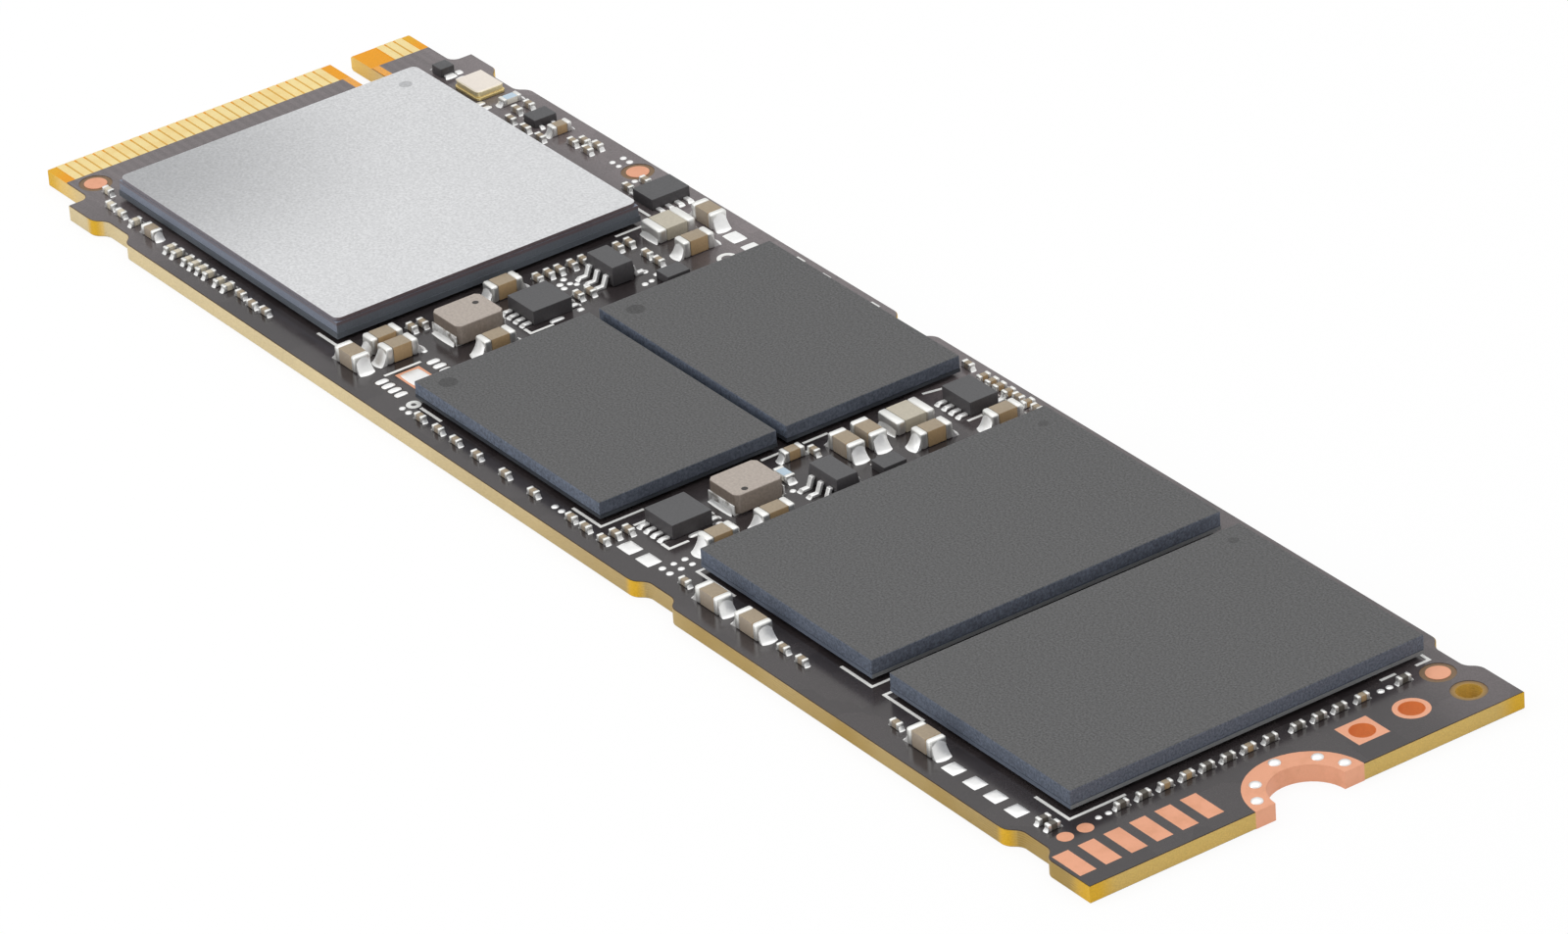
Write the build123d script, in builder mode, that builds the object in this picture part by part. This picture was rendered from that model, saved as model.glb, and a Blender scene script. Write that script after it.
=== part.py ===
from build123d import *
import os

# Single-sided solid-state drive on a card-edge board.
# X runs from the contact edge to the mounting half-hole, Y from the near long edge to the far one,
# Z up from the underside. The origin is the middle of the underside.

# Thickness of the board and of what covers it
BOARD_THICKNESS = 0.8
MASK_THICKNESS = 0.03

# Card edge: two staggered rows of contacts that share one row of pin places
PIN_PLACES = 75
PIN_STEP = 0.25
MIDDLE_PIN = 38
UPPER_PINS = [*range(1, 58, 2), *range(71, 76, 2)]
LOWER_PINS = [*range(2, 59, 2), *range(68, 75, 2)]
CONTACT_WIDTH = 0.4
CONTACT_START = 0.12
CONTACT_END = 1.8
TONGUE_LENGTH = 3.75
TONGUE_MARGIN = 0.675
TONGUE_CHAMFER = 0.15
EDGE_BEVEL = 0.1
SHOULDER = 1.075
SHOULDER_FILLET = 0.45
KEY_PIN = 62.5
KEY_WIDTH = 1.2
KEY_DEPTH = 3.5

# Rows of packages along the board, from the contact edge to the mounting end
CONTROLLER_SETBACK = 4.85
CONTROLLER_LENGTH = 18.15
POWER_COLUMN = 6.65
MEMORY_LENGTH = 14.1
SUPPLY_COLUMN = 6.1
FLASH_LENGTH = 12.1
FLASH_GAP = 1.25
END_COLUMN = 4.7

# Strips and packages across the board, from the near edge to the far one
CONTROLLER_NEAR_STRIP = 2.05
CONTROLLER_WIDTH = 16.2
CONTROLLER_FAR_STRIP = 3.75
MEMORY_NEAR_STRIP = 1.75
MEMORY_WIDTH = 9.2
MEMORY_GAP = 0.5
MEMORY_FAR_STRIP = 1.35
FLASH_NEAR_STRIP = 2.67
FLASH_WIDTH = 18.0
FLASH_FAR_STRIP = 1.33

# Package heights: solder ball, base laminate, moulding, heat spreader
CONTROLLER_STANDOFF = 0.2
CONTROLLER_BASE = 0.28
CONTROLLER_MOULDING = 0.5
SPREADER_THICKNESS = 0.2
SPREADER_INSET = 0.06
SPREADER_CORNER = 0.35
MOULDING_INSET = 0.05
MEMORY_STANDOFF = 0.2
MEMORY_BASE = 0.16
MEMORY_MOULDING = 0.64
FLASH_STANDOFF = 0.22
FLASH_BASE = 0.18
FLASH_MOULDING = 0.7

# Solder balls, six-sided and every second one of the two end columns, to stay light
BALL_SIDES = 6
BALL_RADIUS = 0.25
CONTROLLER_BALL_PITCH = 2.0
MEMORY_BALL_PITCH = 1.6
FLASH_BALL_PITCH = 2.0
BALL_MARGIN = 0.8

# Mounting end
HALF_HOLE_RADIUS = 1.75
RING_RADIUS = 2.75
TOOLING_RADIUS = 0.55
TOOLING_OPENING = 0.78
TOOLING_FROM_END = 1.55
TOOLING_FROM_FAR = 1.6
LAND_HOLE_RADIUS = 0.56
LAND_SIZE = 1.6
LAND_PITCH = 2.54
LANDS_FROM_END = 2.0
LANDS_FROM_FAR = 4.2
TEST_LAND_LENGTH = 1.85
TEST_LAND_WIDTH = 0.8
TEST_LAND_PITCH = 1.27
TEST_LAND_COUNT = 6
TEST_LAND_FROM_END = 1.775
TEST_LAND_FROM_NEAR = 0.6
DOT_RADIUS = 0.36
DOT_FROM_END = 3.54
DOTS_FROM_NEAR = (1.5, 2.5)
FIDUCIAL_RADIUS = 0.54
FIDUCIAL_OPENING = 0.78
DOT_SIDES = 16

# Break-off recesses in the long edges, sloped at both ends
RECESS_LENGTH = 2.84
RECESS_DEPTH = 0.5
RECESS_SLOPE = 0.48

# Solder mask stops short of the board's edges
MASK_PULLBACK = 0.03

# Chip parts: length, width, height, terminal length, and how far terminals stand proud of the body
TINY_CAPACITOR = (0.62, 0.32, 0.32, 0.17, 0.015)
SMALL_CAPACITOR = (1.05, 0.55, 0.5, 0.25, 0.02)
MEDIUM_CAPACITOR = (1.65, 0.85, 0.8, 0.35, 0.025)
LARGE_CAPACITOR = (2.0, 1.5, 0.67, 0.45, 0.025)
RESISTOR = (1.0, 0.5, 0.35, 0.2, 0.02)

# Power inductors
INDUCTOR_LENGTH = 2.15
INDUCTOR_WIDTH = 2.5
INDUCTOR_HEIGHT = 1.0
INDUCTOR_CORNER = 0.2
STRAP_THICKNESS = 0.07
STRAP_FOOT = 0.6
STRAP_RISE = 0.5
STRAP_WIDTH = 1.9

# Flat no-lead chips
REGULATOR_SIDE = 2.05
REGULATOR_SLIM_SIDE = 1.5
REGULATOR_HEIGHT = 0.7
SERIAL_LENGTH = 1.55
SERIAL_WIDTH = 2.05
SERIAL_HEIGHT = 0.57
LOGIC_LENGTH = 0.95
LOGIC_WIDTH = 1.2
LOGIC_HEIGHT = 0.42
TOE_PITCH = 0.5
TOE_WIDTH = 0.26
TOE_REACH = 0.42
TOE_HEIGHT = 0.12
LOGIC_TOE_PITCH = 0.65
LOGIC_TOE_WIDTH = 0.2
LOGIC_TOE_REACH = 0.18

# Small-outline chips with gull-wing leads
OUTLINE_LENGTH = 2.1
OUTLINE_WIDTH = 1.2
OUTLINE_HEIGHT = 1.0
OUTLINE_STANDOFF = 0.05
OUTLINE_DRAFT = 0.06
LEAD_EXIT = 0.5
LEAD_THICKNESS = 0.12
LEAD_WIDTH = 0.26
LEAD_PITCH = 0.65
LEAD_SHELF = 0.16
LEAD_DROP = 0.16
LEAD_REACH = 0.68

# Diode and crystal
DIODE_LENGTH = 0.75
DIODE_WIDTH = 0.75
DIODE_HEIGHT = 0.45
DIODE_TAB_WIDTH = 0.5
DIODE_TAB_REACH = 0.22
DIODE_TAB_THICKNESS = 0.12
CRYSTAL_LENGTH = 2.0
CRYSTAL_WIDTH = 1.6
CRYSTAL_BASE = 0.16
CRYSTAL_LID = 0.3
CRYSTAL_LID_INSET = 0.06
CRYSTAL_LID_CHAMFER = 0.06

# Tinned lands of parts that aren't fitted
PAIR_LAND = (0.98, 0.76)
ROW_LAND = (0.88, 0.72)
CHIP_LAND = (0.36, 0.65)
CENTRE_LAND = (1.5, 1.1)

# Worked-out sizes
TONGUE_WIDTH = (PIN_PLACES - 1) * PIN_STEP + 2 * TONGUE_MARGIN
BOARD_LENGTH = (
    CONTROLLER_SETBACK + CONTROLLER_LENGTH + POWER_COLUMN + MEMORY_LENGTH
    + SUPPLY_COLUMN + 2 * FLASH_LENGTH + FLASH_GAP + END_COLUMN
)
BOARD_WIDTH = max(
    TONGUE_WIDTH + 2 * SHOULDER,
    CONTROLLER_NEAR_STRIP + CONTROLLER_WIDTH + CONTROLLER_FAR_STRIP,
    MEMORY_NEAR_STRIP + 2 * MEMORY_WIDTH + MEMORY_GAP + MEMORY_FAR_STRIP,
    FLASH_NEAR_STRIP + FLASH_WIDTH + FLASH_FAR_STRIP,
)
LAMINATE_TOP = BOARD_THICKNESS - MASK_THICKNESS
LAMINATE_THICKNESS = LAMINATE_TOP - MASK_THICKNESS
KEY_Y = (KEY_PIN - MIDDLE_PIN) * PIN_STEP

# Edges of the board and starts of the zones along it
LEFT = -BOARD_LENGTH / 2
RIGHT = BOARD_LENGTH / 2
NEAR = -BOARD_WIDTH / 2
FAR = BOARD_WIDTH / 2
CONTROLLER_X = LEFT + CONTROLLER_SETBACK
POWER_X = CONTROLLER_X + CONTROLLER_LENGTH
MEMORY_X = POWER_X + POWER_COLUMN
SUPPLY_X = MEMORY_X + MEMORY_LENGTH
FLASH_X = SUPPLY_X + SUPPLY_COLUMN
OUTER_FLASH_X = FLASH_X + FLASH_LENGTH + FLASH_GAP
END_X = OUTER_FLASH_X + FLASH_LENGTH


def spots(zone_x, edge_y, offsets):
    """Places given as distances from a zone's start and from a long edge."""
    return [(zone_x + dx, edge_y + dy) for dx, dy in offsets]


# Package middles
CONTROLLER_SPOT = (CONTROLLER_X + CONTROLLER_LENGTH / 2, NEAR + CONTROLLER_NEAR_STRIP + CONTROLLER_WIDTH / 2)
MEMORY_MIDDLE = MEMORY_X + MEMORY_LENGTH / 2
NEAR_MEMORY_SPOT = (MEMORY_MIDDLE, NEAR + MEMORY_NEAR_STRIP + MEMORY_WIDTH / 2)
FAR_MEMORY_SPOT = (MEMORY_MIDDLE, NEAR_MEMORY_SPOT[1] + MEMORY_WIDTH + MEMORY_GAP)
FLASH_Y = NEAR + FLASH_NEAR_STRIP + FLASH_WIDTH / 2
INNER_FLASH_SPOT = (FLASH_X + FLASH_LENGTH / 2, FLASH_Y)
OUTER_FLASH_SPOT = (OUTER_FLASH_X + FLASH_LENGTH / 2, FLASH_Y)

# Places in the board itself
RECESSES = [
    (CONTROLLER_X + 0.93, NEAR), (CONTROLLER_X + 0.93, FAR),
    (MEMORY_X + 7.7, FAR), (FLASH_X - 1.25, NEAR),
    (RIGHT - 5.55, NEAR), (RIGHT - 5.55, FAR),
]
FIDUCIALS = [(LEFT + 2.75, 0.975 - TONGUE_WIDTH / 2), (POWER_X - 4.3, FAR - 0.95), (RIGHT - 3.45, FAR - 1.65)]
TOOLING_SPOT = (RIGHT - TOOLING_FROM_END, FAR - TOOLING_FROM_FAR)
ROUND_LAND = (RIGHT - LANDS_FROM_END, FAR - LANDS_FROM_FAR)
SQUARE_LAND = (ROUND_LAND[0], ROUND_LAND[1] - LAND_PITCH)
TEST_LANDS = [
    (RIGHT - TEST_LAND_FROM_END, NEAR + TEST_LAND_FROM_NEAR + row * TEST_LAND_PITCH)
    for row in range(TEST_LAND_COUNT)
]
COPPER_DOTS = [(RIGHT - DOT_FROM_END, NEAR + from_near) for from_near in DOTS_FROM_NEAR]

# Tinned lands
PAIR_LANDS = spots(POWER_X, FAR, [(3.82, -1.31), (5.22, -1.31)])
PAIR_LANDS += spots(SUPPLY_X, NEAR, [(2.51, 1.52), (3.88, 1.52)])
ROW_LANDS = spots(OUTER_FLASH_X, NEAR, [(6.25, 1.23), (7.68, 1.23), (9.05, 1.23), (10.45, 1.23)])
CHIP_LANDS = spots(POWER_X, NEAR, [(4.2 + step * TOE_PITCH, 4.28) for step in range(4)])
CHIP_LANDS += spots(POWER_X, NEAR, [(4.2 + step * TOE_PITCH, 1.6) for step in range(4)])
CHIP_LANDS += spots(CONTROLLER_X, FAR, [(3.4, -2.6), (3.95, -2.6)])
CENTRE_LANDS = spots(POWER_X, NEAR, [(4.95, 2.95)])

# Tiny capacitors that lie along the board
TINY_ALONG = spots(
    CONTROLLER_X, NEAR,
    [(-0.8, 1.95), (0.5, 1.3), (1.45, 1.25), (11.65, 1.17), (12.75, 1.05), (13.7, 1.12)],
)
TINY_ALONG += spots(
    CONTROLLER_X, FAR,
    [
        (5.25, -1.05), (5.3, -1.75), (5.9, -2.5), (7.1, -2.5), (8.3, -2.5),
        (10.0, -1.2), (9.7, -1.65), (10.75, -1.0), (10.8, -1.6),
    ],
)
TINY_ALONG += spots(POWER_X, FAR, [(-3.1, -1.35), (-3.1, -2.3)])
TINY_ALONG += spots(POWER_X, FAR, [(1.25, -5.25), (1.25, -5.85), (2.65, -5.25), (3.55, -5.25)])
TINY_ALONG += spots(POWER_X, FAR, [(1.2, -7.7), (1.2, -8.3), (1.2, -9.0), (1.2, -9.55), (1.2, -10.15)])
TINY_ALONG += spots(POWER_X, FAR, [(3.8, -9.1), (3.75, -9.7)])
TINY_ALONG += spots(POWER_X, NEAR, [(1.2, 5.72), (1.2, 5.15)])
TINY_ALONG += spots(
    MEMORY_X, NEAR,
    [(dx, 0.97) for dx in (1.55, 2.95, 4.3, 5.95, 8.1, 10.25, 13.1, 14.15)],
)
TINY_ALONG += spots(SUPPLY_X, FAR, [(-0.3, -0.7), (3.45, -0.8), (4.75, -0.8)])
TINY_ALONG += spots(SUPPLY_X, NEAR, [(1.25, 11.95), (1.35, 1.6), (1.4, 0.95), (1.45, 2.2)])
TINY_ALONG += spots(FLASH_X, NEAR, [(0.5, 1.5), (7.6, 1.45), (8.9, 1.45)])
TINY_ALONG += spots(OUTER_FLASH_X, NEAR, [(2.15, 1.4)])

# Tiny capacitors that stand across the board
TINY_ACROSS = spots(CONTROLLER_X, NEAR, [(2.6, 1.3)])
TINY_ACROSS += spots(
    CONTROLLER_X, NEAR,
    [(dx, 1.12) for dx in (5.84, 6.46, 7.34, 7.91, 8.49, 9.09, 9.99, 10.67)],
)
TINY_ACROSS += spots(SUPPLY_X, FAR, [(1.0, -0.85), (1.6, -0.85), (2.15, -0.85), (2.8, -0.85), (4.1, -0.8)])
TINY_ACROSS += spots(OUTER_FLASH_X, NEAR, [(11.85, 1.5), (12.45, 1.5)])
TINY_ACROSS += spots(
    END_X, NEAR,
    [(0.9, dy) for dy in (4.5, 5.6, 6.7, 7.8, 8.8, 9.85, 10.9, 12.0, 13.4, 14.5, 15.55, 16.7, 18.85)],
)

# Larger chip parts
SMALL_ALONG = spots(CONTROLLER_X, NEAR, [(4.03, 1.28)])
SMALL_ACROSS = spots(CONTROLLER_X, FAR, [(8.25, -1.4)])
SMALL_ACROSS += spots(SUPPLY_X, NEAR, [(0.9, 11.05)])
MEDIUM_ALONG = spots(POWER_X, FAR, [(1.85, -1.3)])
MEDIUM_ALONG += spots(POWER_X, NEAR, [(2.05, 1.52)])
MEDIUM_ALONG += spots(SUPPLY_X, FAR, [(2.0, -7.69), (2.13, -8.94)])
MEDIUM_ALONG += spots(FLASH_X, NEAR, [(2.7, 1.44), (5.52, 1.44)])
MEDIUM_ALONG += spots(OUTER_FLASH_X, NEAR, [(4.25, 1.38)])
MEDIUM_ACROSS = spots(POWER_X, FAR, [(3.6, -3.32)])
MEDIUM_ACROSS += spots(POWER_X, NEAR, [(1.23, 10.0), (5.13, 7.01), (1.6, 3.4), (2.8, 3.4)])
MEDIUM_ACROSS += spots(SUPPLY_X, FAR, [(4.55, -2.44), (3.75, -5.64)])
MEDIUM_ACROSS += spots(SUPPLY_X, NEAR, [(4.85, 7.33), (4.89, 4.43)])
LARGE_ACROSS = spots(POWER_X, FAR, [(1.38, -3.2)])
LARGE_ACROSS += spots(SUPPLY_X, FAR, [(1.78, -5.54)])
RESISTOR_ALONG = spots(SUPPLY_X, NEAR, [(2.1, 9.78)])
RESISTOR_ACROSS = spots(CONTROLLER_X, FAR, [(4.2, -1.4)])

# Inductors, chips, diode and crystal
INDUCTORS = spots(POWER_X, NEAR, [(2.88, 7.07)])
INDUCTORS += spots(SUPPLY_X, NEAR, [(2.4, 7.62)])
SQUARE_REGULATORS = spots(POWER_X, NEAR, [(3.5, 10.43)])
SQUARE_REGULATORS += spots(SUPPLY_X, NEAR, [(2.2, 4.25)])
SLIM_REGULATORS = spots(SUPPLY_X, FAR, [(2.2, -2.45)])
OUTLINE_CHIPS = spots(POWER_X, FAR, [(3.05, -7.48)])
OUTLINE_CHIPS += spots(SUPPLY_X, NEAR, [(4.2, 10.9)])
SERIAL_CHIPS = spots(POWER_X, FAR, [(-1.47, -1.6)])
LOGIC_CHIPS = spots(CONTROLLER_X, FAR, [(6.75, -1.45)])
LOGIC_CHIPS += spots(POWER_X, FAR, [(5.05, -5.5)])
LOGIC_CHIPS += spots(SUPPLY_X, FAR, [(4.4, -8.38)])
DIODES = spots(CONTROLLER_X, FAR, [(-0.35, -2.05)])
CRYSTALS = spots(CONTROLLER_X, FAR, [(2.2, -1.73)])

ON_SURFACE = (Align.CENTER, Align.CENTER, Align.MIN)


def upright(places, height=BOARD_THICKNESS, turn=0):
    """Locations at a height above the underside, turned about the vertical."""
    return [Location((x, y, height), (0, 0, turn)) for x, y in places]


def save(part, name):
    """Label a finished piece and write it out."""
    part.label = name
    export_step(part, f"parts/{name}.step")


def recess_shape(start_x, edge_y):
    """One break-off recess, open at the long edge."""
    floor_y = edge_y - RECESS_DEPTH if edge_y > 0 else edge_y + RECESS_DEPTH
    end_x = start_x + RECESS_LENGTH
    with BuildSketch() as shape:
        with BuildLine():
            Polyline(
                (start_x, edge_y), (start_x + RECESS_SLOPE, floor_y), (end_x - RECESS_SLOPE, floor_y),
                (end_x, edge_y), close=True,
            )
        make_face()
    return shape.sketch


def board_shape():
    """Outline of the board with its tongue, key notch and recesses, before any hole."""
    with BuildSketch() as shape:
        with Locations((LEFT + TONGUE_LENGTH, 0)):
            Rectangle(BOARD_LENGTH - TONGUE_LENGTH, BOARD_WIDTH, align=(Align.MIN, Align.CENTER))
        with Locations((LEFT, 0)):
            Rectangle(2 * TONGUE_LENGTH, TONGUE_WIDTH, align=(Align.MIN, Align.CENTER))
        shoulders = [
            shape.vertices().sort_by_distance((LEFT + TONGUE_LENGTH, side * TONGUE_WIDTH / 2))[0]
            for side in (-1, 1)
        ]
        fillet(shoulders, SHOULDER_FILLET)
        chamfer(shape.vertices().group_by(Axis.X)[0], TONGUE_CHAMFER)
        with Locations((LEFT, KEY_Y)):
            key_flat = KEY_DEPTH - KEY_WIDTH / 2
            Rectangle(key_flat, KEY_WIDTH, align=(Align.MIN, Align.CENTER), mode=Mode.SUBTRACT)
        with Locations((LEFT + key_flat, KEY_Y)):
            Circle(KEY_WIDTH / 2, mode=Mode.SUBTRACT)
        for start_x, edge_y in RECESSES:
            add(recess_shape(start_x, edge_y), mode=Mode.SUBTRACT)
    return shape.sketch


def bare_land_shape():
    """Oblong and round copper lands left bare at the mounting end."""
    with BuildSketch() as shape:
        with Locations(*TEST_LANDS):
            Rectangle(TEST_LAND_LENGTH, TEST_LAND_WIDTH)
        with Locations(*COPPER_DOTS):
            RegularPolygon(DOT_RADIUS, DOT_SIDES)
    return shape.sketch


def through_land_shape():
    """Lands around the two plated holes: one round, one square."""
    with BuildSketch() as shape:
        with Locations(ROUND_LAND):
            Circle(LAND_SIZE / 2)
        with Locations(SQUARE_LAND):
            Rectangle(LAND_SIZE, LAND_SIZE)
    return shape.sketch


def tinned_land_shape():
    """Lands of parts that aren't fitted."""
    with BuildSketch() as shape:
        for size, places in (
            (PAIR_LAND, PAIR_LANDS), (ROW_LAND, ROW_LANDS),
            (CHIP_LAND, CHIP_LANDS), (CENTRE_LAND, CENTRE_LANDS),
        ):
            with Locations(*places):
                Rectangle(*size)
    return shape.sketch


def mask_shape():
    """Solder mask seen on both faces: short of the edges, off the contacts, rings and holes."""
    with BuildSketch() as shape:
        add(board_shape())
        offset(amount=-MASK_PULLBACK, kind=Kind.INTERSECTION)
        with Locations((LEFT, 0)):
            Rectangle(CONTACT_END, BOARD_WIDTH, align=(Align.MIN, Align.CENTER), mode=Mode.SUBTRACT)
        with Locations((RIGHT, 0)):
            Circle(RING_RADIUS, mode=Mode.SUBTRACT)
        with Locations(TOOLING_SPOT):
            Circle(TOOLING_OPENING, mode=Mode.SUBTRACT)
        add(through_land_shape(), mode=Mode.SUBTRACT)
    return shape.sketch


def ring_of_balls(spot, length, width, pitch):
    """Outermost ball places of a package, on whole pitches inside its margin."""
    columns = int((length - 2 * BALL_MARGIN) / pitch)
    rows = int((width - 2 * BALL_MARGIN) / pitch)
    first_x = spot[0] - columns * pitch / 2
    first_y = spot[1] - rows * pitch / 2
    return [
        (first_x + column * pitch, first_y + row * pitch)
        for column in range(columns + 1)
        for row in range(rows + 1)
        if column in (0, columns)
    ]


def chip_part(name, sizes, along, across):
    """Chip bodies and the metal terminals that wrap their ends, as two groups."""
    length, width, height, terminal, proud = sizes
    places = upright(along) + upright(across, turn=90)
    with BuildPart() as bodies:
        with Locations(*places):
            with Locations((0, 0, proud)):
                Box(length - 2 * terminal, width - 2 * proud, height - 2 * proud, align=ON_SURFACE)
    save(bodies.part, f"{name}_bodies")
    with BuildPart() as terminals:
        with Locations(*places):
            end = (length - terminal) / 2
            with Locations((end, 0, 0), (-end, 0, 0)):
                Box(terminal, width, height, align=ON_SURFACE)
    save(terminals.part, f"{name}_terminals")


def toe_rows(length, width, pitch, reach, per_side, sides):
    """Places of the toes round a flat no-lead body, as local locations that point outwards."""
    rows = []
    for side in sides:
        half = length / 2 if side in (0, 180) else width / 2
        for toe in range(per_side):
            along = (toe - (per_side - 1) / 2) * pitch
            outward = Location((0, 0, 0), (0, 0, side))
            rows.append(outward * Location((half + reach / 2, along, 0)))
    return rows


os.makedirs("parts", exist_ok=True)

# Laminate board
with BuildPart() as circuit_board:
    with BuildSketch(Plane.XY.offset(MASK_THICKNESS)):
        add(board_shape())
        with Locations(TOOLING_SPOT):
            Circle(TOOLING_RADIUS, mode=Mode.SUBTRACT)
        add(through_land_shape(), mode=Mode.SUBTRACT)
        with Locations((RIGHT, 0)):
            Circle(RING_RADIUS, mode=Mode.SUBTRACT)
    extrude(amount=LAMINATE_THICKNESS)
    contact_edge = circuit_board.faces().sort_by(Axis.X)[:2]
    chamfer([edge for face in contact_edge for edge in face.edges().filter_by(Axis.Y)], EDGE_BEVEL)
save(circuit_board.part, "circuit_board")

# Solder mask, upper face, open over the fiducials and the bare lands
with BuildPart() as solder_mask_top:
    with BuildSketch(Plane.XY.offset(LAMINATE_TOP)):
        add(mask_shape())
        with Locations(*FIDUCIALS):
            RegularPolygon(FIDUCIAL_OPENING, DOT_SIDES, mode=Mode.SUBTRACT)
        add(bare_land_shape(), mode=Mode.SUBTRACT)
        add(tinned_land_shape(), mode=Mode.SUBTRACT)
    extrude(amount=MASK_THICKNESS)
save(solder_mask_top.part, "solder_mask_top")

# Solder mask, underside
with BuildPart() as solder_mask_bottom:
    with BuildSketch():
        add(mask_shape())
    extrude(amount=MASK_THICKNESS)
save(solder_mask_bottom.part, "solder_mask_bottom")

# Gold edge contacts
for row_name, pins, face_z in (("top", UPPER_PINS, LAMINATE_TOP), ("bottom", LOWER_PINS, 0)):
    with BuildPart() as edge_contacts:
        with BuildSketch(Plane.XY.offset(face_z)):
            with Locations(*[(LEFT + CONTACT_START, (pin - MIDDLE_PIN) * PIN_STEP) for pin in pins]):
                Rectangle(CONTACT_END - CONTACT_START, CONTACT_WIDTH, align=(Align.MIN, Align.CENTER))
        extrude(amount=MASK_THICKNESS)
    save(edge_contacts.part, f"edge_contacts_{row_name}")

# Copper ring of the mounting half-hole, seen on both faces and on the board's end
with BuildPart() as mounting_ring:
    with BuildSketch():
        with Locations((RIGHT, 0)):
            Circle(RING_RADIUS)
            Circle(HALF_HOLE_RADIUS, mode=Mode.SUBTRACT)
            beyond_end = (Align.MIN, Align.CENTER)
            Rectangle(RING_RADIUS, 2 * RING_RADIUS, align=beyond_end, mode=Mode.SUBTRACT)
    extrude(amount=BOARD_THICKNESS)
save(mounting_ring.part, "mounting_ring")

# Plated through holes, their lands carried right through the board to stay light
with BuildPart() as through_hole_lands:
    with BuildSketch():
        add(through_land_shape())
        with Locations(ROUND_LAND, SQUARE_LAND):
            Circle(LAND_HOLE_RADIUS, mode=Mode.SUBTRACT)
    extrude(amount=BOARD_THICKNESS)
save(through_hole_lands.part, "through_hole_lands")

# Fiducial discs, each alone in a wider opening of the mask
with BuildPart() as fiducial_marks:
    with BuildSketch(Plane.XY.offset(LAMINATE_TOP)):
        with Locations(*FIDUCIALS):
            RegularPolygon(FIDUCIAL_RADIUS, DOT_SIDES)
    extrude(amount=MASK_THICKNESS)
save(fiducial_marks.part, "fiducial_marks")

# Bare copper test lands
with BuildPart() as test_lands:
    with BuildSketch(Plane.XY.offset(LAMINATE_TOP)):
        add(bare_land_shape())
    extrude(amount=MASK_THICKNESS)
save(test_lands.part, "test_lands")

# Tinned lands
with BuildPart() as tinned_lands:
    with BuildSketch(Plane.XY.offset(LAMINATE_TOP)):
        add(tinned_land_shape())
    extrude(amount=MASK_THICKNESS)
save(tinned_lands.part, "tinned_lands")

# Controller: base laminate on its balls, moulding, heat spreader
controller_base_z = BOARD_THICKNESS + CONTROLLER_STANDOFF
controller_moulding_z = controller_base_z + CONTROLLER_BASE
spreader_z = controller_moulding_z + CONTROLLER_MOULDING
with BuildPart() as controller_base:
    with BuildSketch(Plane.XY.offset(controller_base_z)):
        with Locations(CONTROLLER_SPOT):
            Rectangle(CONTROLLER_LENGTH, CONTROLLER_WIDTH)
    extrude(amount=CONTROLLER_BASE)
save(controller_base.part, "controller_base")

with BuildPart() as controller_moulding:
    with BuildSketch(Plane.XY.offset(controller_moulding_z)):
        with Locations(CONTROLLER_SPOT):
            Rectangle(CONTROLLER_LENGTH - 2 * MOULDING_INSET, CONTROLLER_WIDTH - 2 * MOULDING_INSET)
    extrude(amount=CONTROLLER_MOULDING)
save(controller_moulding.part, "controller_moulding")

with BuildPart() as controller_spreader:
    with BuildSketch(Plane.XY.offset(spreader_z)):
        with Locations(CONTROLLER_SPOT):
            spreader_length = CONTROLLER_LENGTH - 2 * SPREADER_INSET
            RectangleRounded(spreader_length, CONTROLLER_WIDTH - 2 * SPREADER_INSET, SPREADER_CORNER)
    extrude(amount=SPREADER_THICKNESS)
save(controller_spreader.part, "controller_spreader")

# Memory and flash packages: base laminates in pairs, mouldings one by one
for name, places, length, width, standoff, base, moulding in (
    (
        "memory", {"near": NEAR_MEMORY_SPOT, "far": FAR_MEMORY_SPOT},
        MEMORY_LENGTH, MEMORY_WIDTH, MEMORY_STANDOFF, MEMORY_BASE, MEMORY_MOULDING,
    ),
    (
        "flash", {"inner": INNER_FLASH_SPOT, "outer": OUTER_FLASH_SPOT},
        FLASH_LENGTH, FLASH_WIDTH, FLASH_STANDOFF, FLASH_BASE, FLASH_MOULDING,
    ),
):
    with BuildPart() as package_bases:
        with BuildSketch(Plane.XY.offset(BOARD_THICKNESS + standoff)):
            with Locations(*places.values()):
                Rectangle(length, width)
        extrude(amount=base)
    save(package_bases.part, f"{name}_bases")
    for place, spot in places.items():
        with BuildPart() as package_moulding:
            with BuildSketch(Plane.XY.offset(BOARD_THICKNESS + standoff + base)):
                with Locations(spot):
                    Rectangle(length, width)
            extrude(amount=moulding)
        save(package_moulding.part, f"{name}_moulding_{place}")

# Solder balls under the ball-grid packages
for name, places, length, width, standoff, pitch in (
    (
        "controller", [CONTROLLER_SPOT],
        CONTROLLER_LENGTH, CONTROLLER_WIDTH, CONTROLLER_STANDOFF, CONTROLLER_BALL_PITCH,
    ),
    (
        "memory", [NEAR_MEMORY_SPOT, FAR_MEMORY_SPOT],
        MEMORY_LENGTH, MEMORY_WIDTH, MEMORY_STANDOFF, MEMORY_BALL_PITCH,
    ),
    (
        "flash", [INNER_FLASH_SPOT, OUTER_FLASH_SPOT],
        FLASH_LENGTH, FLASH_WIDTH, FLASH_STANDOFF, FLASH_BALL_PITCH,
    ),
):
    with BuildPart() as solder_balls:
        with BuildSketch(Plane.XY.offset(BOARD_THICKNESS)):
            for spot in places:
                with Locations(*ring_of_balls(spot, length, width, pitch)):
                    RegularPolygon(BALL_RADIUS, BALL_SIDES)
        extrude(amount=standoff)
    save(solder_balls.part, f"{name}_solder_balls")

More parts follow.
